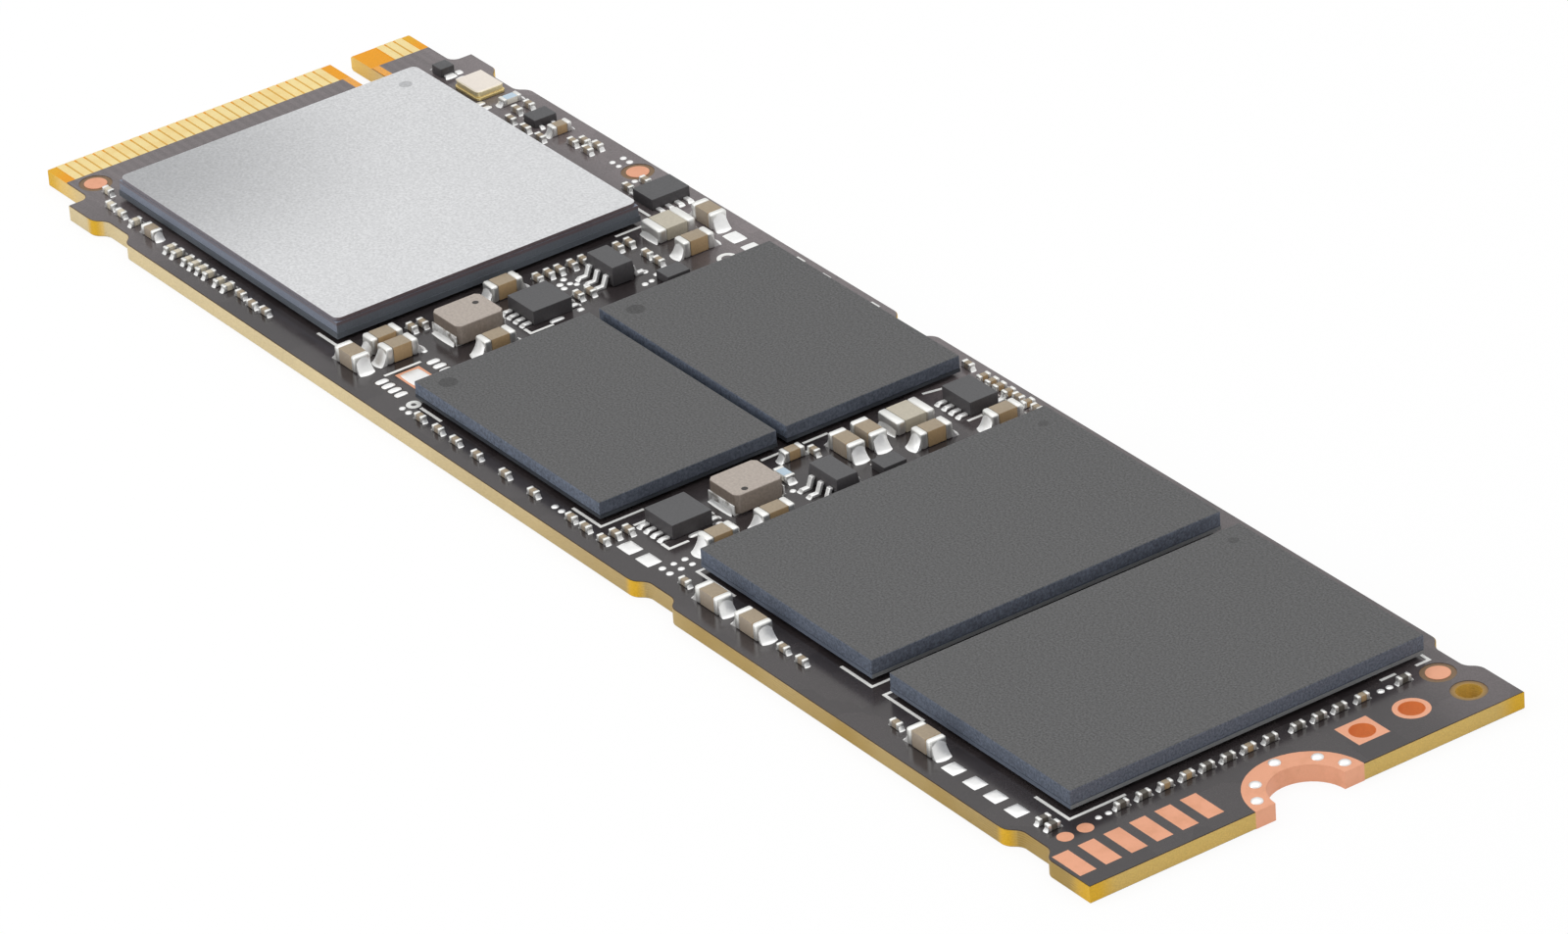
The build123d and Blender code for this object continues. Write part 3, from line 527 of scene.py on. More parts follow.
def plated(name, bright, dull, rough, metallic, patch_scale=DULL_NOISE):
    """Soft plated metal that dulls in patches."""
    made, tree, principled = start_material(name, Metallic=metallic)
    share = ramp_between(tree, noise(tree, patch_scale, DULL_DETAIL, DULL_ROUGHNESS), *DULL_SHARE)
    tint = blend(tree, share, bright, dull)
    coat(tree, principled, tint, PLATING._replace(rough=rough))
    return made


def step_along(tree, along, limits):
    """A smooth step along the board, between two distances in millimetres from the contact edge."""
    return ramp_between(tree, along, *(CONTACT_EDGE + limit * MM for limit in limits))


# Painted sheen across and along the board and its share over tracks; where the mask is bare round the key
# notch
SHEEN_ACROSS = (5.5, 10.3)
SHEEN_ALONG = (17.0, 1.5)
SHEEN_FADE = (30.0, 70.0)
SHEEN_LOSS = 0.5
CONTACT_SHEEN = 0.8
TRACK_SHADE = 0.84
KEY_ACROSS = 6.125
KEY_BARE = (1.04, 0.98)
KEY_BARE_END = (3.9, 3.8)


def film_material(look):
    """Solder mask: lighter over buried copper, painted sheen by the contacts and far edge, bare round the
    notch.
    """
    made, tree, principled = start_material("solder_mask_film", Specular_IOR_Level=0.66)
    spread = split(tree, place(tree))
    along, across = spread["X"], spread["Y"]
    copper = use_group(tree, "Buried copper")["Copper"]
    tint = blend(tree, copper, look.film, look.film_copper)
    fade = times(tree, step_along(tree, along, SHEEN_FADE), SHEEN_LOSS)
    far = times(tree, ramp_between(tree, across, *(v * MM for v in SHEEN_ACROSS)), rest_of(tree, fade))
    near_contacts = times(tree, step_along(tree, along, SHEEN_ALONG), CONTACT_SHEEN)
    # Painted sheen by the far edge and the contacts, weaker over copper tracks
    sheen = times(tree, maths(tree, "MAXIMUM", far, near_contacts), span(tree, copper, TRACK_SHADE, 1.0))
    tint = blend(tree, sheen, tint, look.film_painted_sheen)
    from_key = maths(tree, "ABSOLUTE", maths(tree, "SUBTRACT", across, KEY_ACROSS * MM))
    beside = ramp_between(tree, from_key, *(v * MM for v in KEY_BARE))
    bare = times(tree, beside, step_along(tree, along, KEY_BARE_END))
    coat(tree, principled, blend(tree, bare, tint, look.tongue), FILM, relief=copper)
    return made


# Where the cut edges and the bare laminate change colour along the board
AMBER_ALONG = (24.0, 60.0)
TONGUE_EDGE = (4.2, 0.3)
BARE_END = (1.85, 1.75)
GAP_START = (0.30, 0.40)
GAP_BREAK = 1.0
AMBER_PATCHES = 0.24
LAYER_SHARE = 0.22

# Corners that light comes through: place along and across, and reach
AMBER_CORNERS = [
    (80.0, 11.0, 1.5), (80.0, -11.0, 1.5), (0.0, -9.925, 1.5), (0.0, 9.925, 1.5),
    (5.78, -11.0, 0.6), (48.6, -11.0, 0.6), (74.45, -11.0, 0.6),
    (5.78, 11.0, 0.6), (37.35, 11.0, 0.6), (74.45, 11.0, 0.6), (78.45, 9.4, 0.9),
]
CORNER_SOFTNESS = 0.8
CORNER_TOP = 0.7


def contact_rows():
    """Where each unbroken row of contacts starts and ends across the board."""
    rows = []
    for low, high in sorted(islands("edge_contacts_top"), key=lambda box: box[0].y):
        if rows and low.y - rows[-1][1] < GAP_BREAK * MM:
            rows[-1][1] = high.y
        else:
            rows.append([low.y, high.y])
    return rows


def laminate_material(look):
    """Glass laminate: orange on the tongue, pale to amber along the edges, brown in the mask's openings."""
    made, tree, principled = start_material("board_laminate", Roughness=0.5, Specular_IOR_Level=0.2)
    spread = split(tree, place(tree))
    along, across = spread["X"], spread["Y"]
    layers = use_group(tree, "Laminate layers")
    pale, tongue_edge, amber = look.edge_pale, look.edge_tongue, look.corner_amber
    toward_end = step_along(tree, along, AMBER_ALONG)
    patchy = rest_of(tree, times(tree, layers["Patch"], AMBER_PATCHES))
    wall = blend(tree, times(tree, toward_end, patchy), pale, look.edge_amber)
    wall = blend(tree, step_along(tree, along, TONGUE_EDGE), wall, tongue_edge)
    wall = blend(tree, times(tree, layers["Layer"], LAYER_SHARE), wall, pale)
    end = blend(tree, toward_end, tongue_edge, look.edge_end)
    bare = step_along(tree, along, BARE_END)
    top = blend(tree, bare, look.opening, look.tongue)
    behind_edge = times(tree, step_along(tree, along, GAP_START), bare)
    for first, last in contact_rows():
        after, before = maths(tree, "GREATER_THAN", across, first), maths(tree, "LESS_THAN", across, last)
        share = times(tree, behind_edge, times(tree, after, before))
        top = blend(tree, share, top, look.gap)
    for *middle, reach in AMBER_CORNERS:
        glow = use_group(
            tree, "Round mark",
            Centre=spot(*middle, height=0.0), Radius=reach * MM, Softness=CORNER_SOFTNESS,
        )["Mask"]
        wall = blend(tree, glow, wall, amber)
        end = blend(tree, glow, end, amber)
        top = blend(tree, times(tree, glow, CORNER_TOP), top, amber)
    sides = use_group(tree, "Top and wall", Top=top, Wall=wall, End=end)
    coat(tree, principled, sides["Colour"], LAMINATE, relief=layers["Layer"])
    return made


SPREADER_MARK = (6.23, 5.81)
SPREADER_MARK_RADIUS = 0.33
SPREADER_MARK_SHARE = 0.72
SPREADER_METAL = 0.7
PAINTED_SHADE_REACH = 0.8


def spreader_material(look):
    """Satin metal top with painted shade towards its near left corner, a faint round mark and a dark rim."""
    made, tree, principled = start_material("spreader_metal")
    low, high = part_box("controller_spreader")
    reach = PAINTED_SHADE_REACH * (high.x - low.x)
    # Painted shade, strongest at the near left corner
    corner = use_group(tree, "Round mark", Centre=(low.x, low.y, 0.0), Radius=reach, Softness=1.0)["Mask"]
    tint = blend(tree, corner, look.spreader, look.spreader_painted_shade_and_mark)
    centre = spot(*SPREADER_MARK, height=0.0)
    mark = use_group(tree, "Round mark", Centre=centre, Radius=SPREADER_MARK_RADIUS * MM)["Mask"]
    tint = blend(tree, times(tree, mark, SPREADER_MARK_SHARE), tint, look.spreader_painted_shade_and_mark)
    sides = use_group(tree, "Top and wall", Top=tint, Wall=look.spreader_rim, End=look.spreader_rim_end)
    metal = ramp_between(tree, sides["Top share"], 0.0, 1.0)
    tree.links.new(times(tree, metal, SPREADER_METAL), principled.inputs["Metallic"])
    coat(tree, principled, sides["Colour"], SPREADER)
    return made


def tin_material(look):
    """Bright tin, shared by every terminal."""
    return bpy.data.materials.get("tin") or grained("tin", look.tin, TIN, Metallic=1.0)


def solder_material(look):
    """Bright solder, shared by the chips' wetted toes and every fillet."""
    return bpy.data.materials.get("solder") or grained("solder", look.solder, SOLDER, Metallic=0.55)


# Meshes

WELD = 1e-7
FUSE = 1e-8
FLAT = math.radians(1.0)
SHARP = math.radians(40)
UPRIGHT = 0.9

# Turns in degrees of the edges that are rounded, and in how many segments
EDGE_TURNS, EDGE_SEGMENTS = (25, 180), 3
CORNER_TURNS, CORNER_SEGMENTS = (60, 180), 6
HOLE_TURNS, HOLE_SEGMENTS = (15, 30), 2
RECESS_TURNS, RECESS_SEGMENTS = (30, 70), 5
INLAND = 1.0


def spot(along, across, height=None):
    """A point given in millimetres from the contact edge and from the board's middle line."""
    return Vector((CONTACT_EDGE + along * MM, across * MM, SURFACE if height is None else height))


def around(radius, angle, height=0.0):
    """A point on a level circle about the origin."""
    return Vector((radius * math.cos(angle), radius * math.sin(angle), height))


def welded(node):
    """A CAD node's mesh with its faces joined again, ready to be worked on."""
    work = bmesh.new()
    work.from_mesh(NODES[node].data)
    bmesh.ops.remove_doubles(work, verts=work.verts, dist=WELD)
    bmesh.ops.dissolve_limit(work, angle_limit=FLAT, verts=work.verts, edges=work.edges)
    return work


def islands(node):
    """Lowest and highest corner of each separate solid in a CAD node."""
    work = welded(node)
    left, boxes = set(work.verts), []
    while left:
        found, todo = set(), [left.pop()]
        while todo:
            vert = todo.pop()
            found.add(vert)
            for edge in vert.link_edges:
                other = edge.other_vert(vert)
                if other in left:
                    left.discard(other)
                    todo.append(other)
        points = [v.co for v in found]
        low = Vector(min(p[axis] for p in points) for axis in range(3))
        high = Vector(max(p[axis] for p in points) for axis in range(3))
        boxes.append((low, high))
    work.free()
    return sorted(boxes, key=lambda box: tuple(box[0]))


def middles(node):
    """Middle and half extent of each separate solid in a CAD node."""
    return [((low + high) / 2, (high - low) / 2) for low, high in islands(node)]


def finished(name, work, material, stands_for=(), smooth=True):
    """Turns worked geometry into a piece that rides on the board."""
    bmesh.ops.recalc_face_normals(work, faces=work.faces)
    mesh = bpy.data.meshes.new(name)
    for face in work.faces:
        face.smooth = smooth
    for edge in work.edges:
        edge.smooth = not edge.is_manifold or edge.calc_face_angle() < SHARP
    work.to_mesh(mesh)
    work.free()
    mesh.materials.append(material)
    made = bpy.data.objects.new(name, mesh)
    bpy.context.scene.collection.objects.link(made)
    if smooth:
        made.modifiers.new("Even shading", "WEIGHTED_NORMAL").keep_sharp = True
    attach(made, "root")
    if stands_for:
        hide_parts(*stands_for)
    return made


def turned(edges, least, most):
    """Those edges whose two faces turn by an angle between two limits in degrees."""
    return [e for e in edges if e.is_manifold and least < math.degrees(e.calc_face_angle()) < most]


def upright(work):
    """Those edges of worked geometry that stand on end."""
    return [e for e in work.edges if abs(e.verts[0].co.z - e.verts[1].co.z) > UPRIGHT * e.calc_length()]


def round_off(work, edges, radius, segments):
    """Rounds some edges of worked geometry."""
    bmesh.ops.bevel(
        work, geom=edges, offset=radius, offset_type="OFFSET", segments=segments,
        profile=0.5, affect="EDGES", clamp_overlap=True,
    )


def softened(name, node, radius, material, corner=0.0):
    """A CAD node with its edges, and if given its upright corners, rounded, standing for that node."""
    work = welded(node)
    if corner:
        round_off(work, turned(upright(work), *CORNER_TURNS), corner, CORNER_SEGMENTS)
    round_off(work, turned(work.edges, *EDGE_TURNS), radius, EDGE_SEGMENTS)
    return finished(name, work, material, (node,))


def rounded_plan(name, node, look, material):
    """A flat CAD node with its many-sided holes and slanted corners rounded, standing for that node."""
    work = welded(node)
    for turns, radius, segments in (
        (HOLE_TURNS, look.opening_round, HOLE_SEGMENTS),
        (RECESS_TURNS, look.recess_round, RECESS_SEGMENTS),
    ):
        inland = [e for e in upright(work) if e.verts[0].co.x > CONTACT_EDGE + INLAND * MM]
        round_off(work, turned(inland, *turns), radius, segments)
    return finished(name, work, material, (node,))


def dress(node, material):
    """Gives a carried-over CAD node its material."""
    data = NODES[node].data
    data.materials.clear()
    data.materials.append(material)


def stitch(work, rows, closed=False):
    """Joins rows of points into a sheet of quads and returns the rows of verts."""
    grid = [[work.verts.new(p) for p in row] for row in rows]
    for below, above in zip(grid, grid[1:]):
        count = len(below)
        for i in range(count if closed else count - 1):
            j = (i + 1) % count
            work.faces.new((below[i], below[j], above[j], above[i]))
    return grid


def rim_of(grid):
    """The verts round a sheet, in order."""
    return grid[0] + [r[-1] for r in grid[1:]] + grid[-1][-2::-1] + [r[0] for r in grid[-2:0:-1]]


def skirt(work, upper, lower):
    """Quads between two rims."""
    for i in range(len(upper)):
        j = (i + 1) % len(upper)
        work.faces.new((upper[i], upper[j], lower[j], lower[i]))


def dome(work, centre, radius, height, sides=24, rings=4):
    """A low round cap on a flat foot."""
    turns = [2 * math.pi * i / sides for i in range(sides)]
    rows = []
    for ring in range(rings + 1):
        climb = 0.5 * math.pi * ring / (rings + 1)
        reach, rise = radius * math.cos(climb), height * math.sin(climb)
        rows.append([centre + around(reach, turn, rise) for turn in turns])
    grid = stitch(work, rows, closed=True)
    top = work.verts.new(centre + Vector((0, 0, height)))
    for i in range(sides):
        work.faces.new((grid[-1][i], grid[-1][(i + 1) % sides], top))
    work.faces.new(list(reversed(grid[0])))


CROWN_POWER = 6
CROWN_FALL = 0.18


def cushion(work, low, high, height, corner, steps=10):
    """Solder domed over an oblong land; corner runs from 0 for square corners to 0.5 for an oval."""
    half = (high - low) / 2
    middle = (high + low) / 2
    shares = [-math.cos(math.pi * i / steps) for i in range(steps + 1)]
    rows = []
    for t in shares:
        row = []
        for s in shares:
            crown = (1 - s ** CROWN_POWER) * (1 - t ** CROWN_POWER) * (1 - CROWN_FALL * (s * s + t * t))
            x = middle.x + half.x * s * math.sqrt(1 - corner * t * t)
            y = middle.y + half.y * t * math.sqrt(1 - corner * s * s)
            row.append(Vector((x, y, high.z + max(height * crown, 0))))
        rows.append(row)
    rim = rim_of(stitch(work, rows))
    foot = [work.verts.new((v.co.x, v.co.y, low.z)) for v in rim]
    skirt(work, rim, foot)
    work.faces.new(foot)


# A fillet's width at the wall, how it flares and draws in, its cut corners, hollow and crown
FILLET_WAIST = 0.86
FILLET_FLARE = 0.24
FILLET_DRAW = 0.16
FILLET_CUT = 0.22
FILLET_HOLLOW = 2.3
FILLET_CROWN = 0.30


def fillet_patch(work, foot, outward, width, rise, reach, steps=7):
    """A concave solder fillet from an end wall down to the board; foot is the wall's middle on the board."""
    across = Vector((-outward.y, outward.x, 0.0))
    top, flat = [], []
    for j in range(steps + 1):
        t = j / steps
        half = 0.5 * width * (FILLET_WAIST + FILLET_FLARE * t - FILLET_DRAW * t ** 4)
        top_row, flat_row = [], []
        for i in range(steps + 1):
            s = 2.0 * i / steps - 1.0
            run = reach * t * (1.0 - FILLET_CUT * s * s * t)
            lift = rise * (1.0 - t) ** FILLET_HOLLOW * (1.0 - FILLET_CROWN * s * s)
            point = foot + outward * run + across * (half * s)
            top_row.append(point + Vector((0.0, 0.0, lift)))
            flat_row.append(point)
        top.append(top_row)
        flat.append(flat_row)
    upper, lower = stitch(work, top), stitch(work, flat)
    skirt(work, rim_of(upper), rim_of(lower))
    bmesh.ops.remove_doubles(work, verts=[v for row in upper + lower for v in row if v.is_valid], dist=FUSE)


SUNK = 0.01


def outer_foot(low, high, body, half):
    """The foot of an end's outer wall, the way it faces from its body, and its width."""
    extent, middle = high - low, (low + high) / 2
    lean = middle - body
    axis = 0 if abs(lean.x) / half.x > abs(lean.y) / half.y else 1
    outward = Vector((0.0, 0.0, 0.0))
    outward[axis] = math.copysign(1.0, lean[axis])
    foot = Vector((middle.x, middle.y, low.z)) + outward * (0.5 * extent[axis] - SUNK * MM)
    return foot, outward, extent[1 - axis]


MITRE_LEAST = 0.4


def stroke(work, points, width, height, closed=False):
    """A printed line with mitred corners on the mask."""
    count = len(points)
    left, right = [], []
    for i, point in enumerate(points):
        before = points[i - 1] if closed or i else None
        after = points[(i + 1) % count] if closed or i < count - 1 else None
        ways = [(point - before).normalized()] if before is not None else []
        ways += [(after - point).normalized()] if after is not None else []
        way = sum(ways, Vector((0, 0, 0))).normalized()
        side = Vector((-way.y, way.x, 0))
        spread = 0.5 * width / max(side.dot(Vector((-ways[0].y, ways[0].x, 0))), MITRE_LEAST)
        left.append(point + side * spread)
        right.append(point - side * spread)
    lift = Vector((0, 0, height))
    loop = [[a, a + lift, b + lift, b] for a, b in zip(left, right)]
    if closed:
        loop.append(loop[0])
    grid = stitch(work, loop, closed=True)
    if closed:
        bmesh.ops.remove_doubles(work, verts=grid[0] + grid[-1], dist=FUSE)
    else:
        work.faces.new(grid[0])
        work.faces.new(list(reversed(grid[-1])))


# Operators, one for each piece or group of like pieces


class DRIVE_OT_board(bpy.types.Operator):
    """Dress the laminate, the solder mask, the contacts and the plated copper"""

    bl_idname = "drive.board"
    bl_label = "Board"

    def execute(self, context):
        look = context.scene.drive_board
        film = film_material(look)
        copper = plated("bare_copper", look.copper, look.copper_dull, rough=(0.48, 0.6), metallic=0.45)
        gold = plated("contact_gold", look.gold, look.gold_worn, rough=(0.32, 0.45), metallic=0.8)
        # Plated holes: copper on top, painted light and shade on the bore walls
        bored = moulded("bored_copper", look.copper, look.bore, look.bore, BORE, Metallic=0.35)
        for name, node, material, slot in (
            ("board_laminate", "circuit_board", laminate_material(look), "laminate"),
            ("mask_top", "solder_mask_top", film, "solder_mask"),
            ("mask_bottom", "solder_mask_bottom", film, "solder_mask"),
            ("bare_test_lands", "test_lands", copper, "copper"),
            ("fiducial_discs", "fiducial_marks", copper, "copper"),
        ):
            rounded_plan(name, node, look, material)
        work = bmesh.new()
        low, high = max(islands("tinned_lands"), key=lambda box: (box[1] - box[0]).length)
        corners = [(low.x, low.y), (high.x, low.y), (high.x, high.y), (low.x, high.y)]
        border = [Vector((x, y, SURFACE)) for x, y in corners]
        stroke(work, border, look.border_width, look.print_height, closed=True)
        finished("centre_land_border", work, copper, smooth=False)
        for node, material in (
            ("edge_contacts_top", gold),
            ("edge_contacts_bottom", gold),
            ("mounting_ring", copper),
            ("through_hole_lands", bored),
        ):
            dress(node, material)
        return {"FINISHED"}


# Corners of the printed lines, in millimetres along and across
PRINTED_LINES = [
    [(21.6, -9.1), (23.15, -9.1), (23.15, -8.6)],
    [(23.15, 5.75), (23.15, 7.2)],
    [(21.6, 8.0), (22.6, 8.0)],
    [(41.9, -9.4), (44.0, -9.4), (44.0, -7.2)],
    [(43.97, 1.1), (43.97, 2.4)],
    [(43.97, -1.1), (43.97, -0.1)],
    [(26.85, -9.05), (26.85, -7.15)],
    [(30.3, -9.43), (31.9, -9.43)],
    [(43.95, 7.45), (44.15, 8.4)],
    [(47.16, 7.5), (47.16, 8.3)],
    [(47.46, -7.3), (47.46, -8.3), (46.9, -8.3)],
    [(44.85, -7.6), (44.85, -8.3)],
    [(28.0, -0.9), (28.0, -2.1), (27.5, -2.1)],
    [(49.8, -8.1), (49.8, -8.5), (52.5, -8.5)],
    [(60.0, -8.5), (62.15, -8.5), (62.15, -7.5)],
    [(63.0, -8.1), (63.0, -8.5), (65.7, -8.5)],
    [(73.3, -8.6), (75.55, -8.6), (75.55, -5.8)],
    [(75.0, 9.7), (75.55, 9.7), (75.55, 9.0)],
    [(75.5, 7.2), (75.5, 8.0)],
    [(30.2, 10.65), (30.8, 10.65)],
    [(32.2, 10.6), (32.8, 10.6)],
    [(35.8, 10.65), (36.4, 10.65)],
]

# Printed ring and arc: middle, radius, first angle and sweep in degrees, and steps
FULL_TURN = 360
PRINTED_ROUNDS = [((29.85, -9.5), 0.235, 0, FULL_TURN, 28), ((28.2, 8.3), 0.37, 70, 220, 20)]


class DRIVE_OT_print(bpy.types.Operator):
    """Print the white outline marks on the mask"""

    bl_idname = "drive.print"
    bl_label = "Printed lines"

    def execute(self, context):
        look = context.scene.drive_board
        work = bmesh.new()
        for line in PRINTED_LINES:
            stroke(work, [spot(*p) for p in line], look.line_width, look.print_height)
        for middle, radius, first, sweep, steps in PRINTED_ROUNDS:
            closed = sweep == FULL_TURN
            turns = [math.radians(first + sweep * i / steps) for i in range(steps if closed else steps + 1)]
            line = [spot(*middle) + around(radius * MM, turn) for turn in turns]
            stroke(work, line, look.round_width, look.print_height, closed)
        ink = grained("print_ink", look.print_white, INK)
        finished("printed_lines", work, ink, smooth=False)
        return {"FINISHED"}


class DRIVE_OT_controller(bpy.types.Operator):
    """Dress the controller and its metal top, and the bases and solder balls of all packages"""

    bl_idname = "drive.controller"
    bl_label = "Controller and package bases"

    def execute(self, context):
        look = context.scene.drive_packages
        node, metal = "controller_spreader", spreader_material(look)
        softened(node + "_top", node, look.spreader_round, metal)
        rim_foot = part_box("controller_moulding")[1].z - look.rim_depth
        rim = (rim_foot, look.spreader_rim, look.spreader_rim_end)
        # Painted light and shade: lighter long walls on the controller, lighter end walls on the flash bases
        for node, wall, end, band in (
            ("controller_moulding", look.controller_wall, look.controller_end, rim),
            ("controller_base", look.controller_base, look.controller_base, None),
            ("memory_bases", look.memory_base, look.memory_base, None),
            ("flash_bases", look.flash_wall, look.flash_base, None),
        ):
            dress(node, moulded(node + "_finish", wall, wall, end, BASE, band=band))
        balls = grained("ball_solder", look.ball, BALL, Metallic=1.0)
        for node in ("controller_solder_balls", "memory_solder_balls", "flash_solder_balls"):
            dress(node, balls)
        return {"FINISHED"}


# Round marks on the packages: place along and across, radius, and share of the top's brightness
PACKAGE_MARKS = {
    "memory_moulding_near": ((30.75, -8.2), 0.45, 0.62),
    "memory_moulding_far": ((30.85, 1.6), 0.45, 0.62),
    "flash_moulding_inner": ((51.1, 8.65), 0.26, 0.72),
    "flash_moulding_outer": ((64.2, 8.6), 0.26, 0.72),
}


class DRIVE_OT_packages(bpy.types.Operator):
    """Dress the memory and flash packages"""

    bl_idname = "drive.packages"
    bl_label = "Memory and flash packages"

    def execute(self, context):
        look = context.scene.drive_packages
        # Memory packages' long walls are lighter than their ends: painted light and shade
        walls = {
            "memory": (look.memory_wall, look.memory_end),
            "flash": (look.flash_wall, look.flash_end),
        }
        for node, (middle, radius, share) in PACKAGE_MARKS.items():
            wall, end = walls[node.split("_")[0]]
            dimple = (spot(*middle, height=0.0), radius * MM, tuple(share * c for c in look.moulding))
            finish = moulded(
                node + "_finish", look.moulding, wall, end, PACKAGE, [dimple], Specular_IOR_Level=0.35,
            )
            softened(node + "_body", node, look.package_round, finish)
        return {"FINISHED"}


# Tiny parts of another colour: where, and how far round it
PALE_ROW = (9.5, -12.0)
PALE_REACH = 7.5
DARK_PARTS = [(76.2, across) for across in (-6.5, -5.4, -2.2, -1.15, 1.0, 2.4, 3.5, 4.55, 7.85)]
DARK_PARTS += [(75.05, -9.5), (75.65, -9.5)]
DARK_REACH = 0.5


class DRIVE_OT_chip_parts(bpy.types.Operator):
    """Round and dress the chip capacitors and resistors"""

    bl_idname = "drive.chip_parts"
    bl_label = "Capacitors and resistors"

    def execute(self, context):
        look = context.scene.drive_parts
        tin = tin_material(look)
        # The ceramic walls carry painted light and shade: lighter where they face along the board
        browns = (look.ceramic, look.ceramic_side, look.ceramic_end)
        shades = [(spot(*PALE_ROW, height=0.0), PALE_REACH * MM, look.ceramic_pale)]
        shades += [(spot(*middle, height=0.0), DARK_REACH * MM, look.ceramic_dark) for middle in DARK_PARTS]
        mixed = moulded("tiny_part_ceramic", *browns, CERAMIC, shades, whole=True)
        ceramic = moulded("capacitor_ceramic", *browns, CERAMIC)
        pale = moulded("large_capacitor_ceramic", *[look.large_ceramic] * 3, LARGE_CERAMIC)
        glaze = moulded("resistor_glaze", look.glaze, look.tin, look.tin, GLAZE)
        for kind, finish, slot, radius in (
            ("tiny_capacitor", mixed, "capacitor_ceramic", look.tiny_round),
            ("small_capacitor", ceramic, "capacitor_ceramic", look.small_round),
            ("medium_capacitor", ceramic, "capacitor_ceramic", look.chip_round),
            ("large_capacitor", pale, "large_capacitor_ceramic", look.chip_round),
            ("resistor", glaze, "resistor_glaze", look.tiny_round),
        ):
            softened(kind + "_blocks", kind + "_bodies", min(look.body_round, radius), finish)
            softened(kind + "_ends", kind + "_terminals", radius, tin)
        return {"FINISHED"}


INDUCTOR_MARKS = [(25.55, -3.3), (46.9, -3.95)]
INDUCTOR_MARK_RADIUS = 0.16
STRAP_NOISE = 2400.0


class DRIVE_OT_inductors(bpy.types.Operator):
    """Round and dress the power inductors"""

    bl_idname = "drive.inductors"
    bl_label = "Inductors"

    def execute(self, context):
        look = context.scene.drive_parts
        radius = INDUCTOR_MARK_RADIUS * MM
        marks = [(spot(*middle, height=0.0), radius, look.inductor_mark) for middle in INDUCTOR_MARKS]
        # The ferrite walls carry painted light and shade
        sides = (look.inductor, look.inductor_wall, look.inductor_end)
        ferrite = moulded("inductor_ferrite", *sides, FERRITE, marks)
        softened("inductor_blocks", "inductor_bodies", look.inductor_round, ferrite)
        strap = plated(
            "strap_tin", look.solder, look.strap_shade,
            rough=(0.3, 0.45), metallic=0.55, patch_scale=STRAP_NOISE,
        )
        softened("inductor_ends", "inductor_straps", look.strap_round, strap)
        return {"FINISHED"}


# Small chips: kind, node of the bodies and node of the toes
CHIPS = [
    ("regulator", "regulator_bodies", "regulator_toes"),
    ("serial_memory", "serial_memory_bodies", "serial_memory_toes"),
    ("logic_chip", "logic_chip_bodies", "logic_chip_toes"),
    ("outline_chip", "outline_chip_bodies", "outline_chip_leads"),
    ("diode", "diode_body", "diode_tabs"),
]


class DRIVE_OT_chips(bpy.types.Operator):
    """Round and dress the small chips, the diode and their toes"""

    bl_idname = "drive.chips"
    bl_label = "Small chips"

    def execute(self, context):
        look = context.scene.drive_parts
        finish = moulded("chip_moulding", look.chip, look.chip_wall, look.chip_wall, CHIP)
        wetted = solder_material(look)
        for kind, bodies, toes in CHIPS:
            softened(kind + "_blocks", bodies, look.body_round, finish)
            softened(kind + "_metal", toes, look.toe_round, wetted)
        return {"FINISHED"}


DULL_GOLD = 0.8


class DRIVE_OT_crystal(bpy.types.Operator):
    """Round and dress the crystal"""

    bl_idname = "drive.crystal"
    bl_label = "Crystal"

    def execute(self, context):
        look = context.scene.drive_parts
        dull = tuple(DULL_GOLD * c for c in look.lid_base)
        side = plated("crystal_gold", look.lid_base, dull, rough=(0.3, 0.45), metallic=0.6)
        lid = moulded("crystal_lid_metal", look.lid, look.lid_wall, look.lid_wall, LID, Metallic=0.5)
        corner = look.crystal_corner
        softened("crystal_foot", "crystal_base", look.foot_round, side, corner)
        softened("crystal_cap", "crystal_lid", look.lid_round, lid, corner)
        return {"FINISHED"}


# Fillets at chip parts: share of the end's width, and rise and reach as shares of its height
FILLETED = {
    "tiny_capacitor": (0.90, 0.70, 0.42),
    "small_capacitor": (0.90, 0.82, 0.52),
    "medium_capacitor": (0.92, 0.84, 0.55),
    "large_capacitor": (0.92, 0.50, 0.32),
    "resistor": (0.90, 0.75, 0.75),
}

# Fillets at toes and straps: share of the toe's width, and rise in millimetres
CHIP_TOE = (1.25, 0.14)
STRAP_TOE = (0.92, 0.22)
TOED = [(bodies, toes, *CHIP_TOE) for kind, bodies, toes in CHIPS]
TOED += [("inductor_bodies", "inductor_straps", *STRAP_TOE)]

# Solder patches: place along and across, length and width
SOLDER_PATCHES = [
    (27.75, -0.55, 0.30, 0.75), (27.7, 0.75, 0.28, 0.35), (47.2, -6.75, 0.30, 0.75),
    (47.15, -5.5, 0.28, 0.35), (4.94, 9.5, 0.42, 0.40), (5.55, 9.25, 0.40, 0.55),
]
TINNED_DOTS = [
    (17.2, 10.3), (17.7, 10.3), (17.2, 9.7), (17.7, 9.7), (19.4, 9.4),
    (24.9, 1.75), (25.4, 1.75), (25.65, 1.95), (25.2, 1.35), (25.6, 1.3),
    (27.3, 5.1), (26.75, 4.85), (27.65, 4.6), (27.7, 4.2), (26.17, -6.5),
    (29.8, -10.05), (30.3, -10.05), (41.3, -9.9), (41.8, -9.9), (47.0, -1.6),
    (48.6, -8.3), (49.15, -8.3), (48.6, -8.87), (49.15, -8.87), (48.6, -9.45), (49.15, -9.45),
    (76.15, 7.15), (76.15, 6.7), (76.2, -7.15), (76.2, -7.65),
]
RING_DOTS = [(79.45, 2.2), (78.4, 1.65), (77.6, 0.1), (78.4, -1.5), (79.4, -2.2)]
SOLDER_SEED = 11
FILLET_DRIFT = (0.85, 1.15)
DOT_DRIFT = (0.9, 1.1)
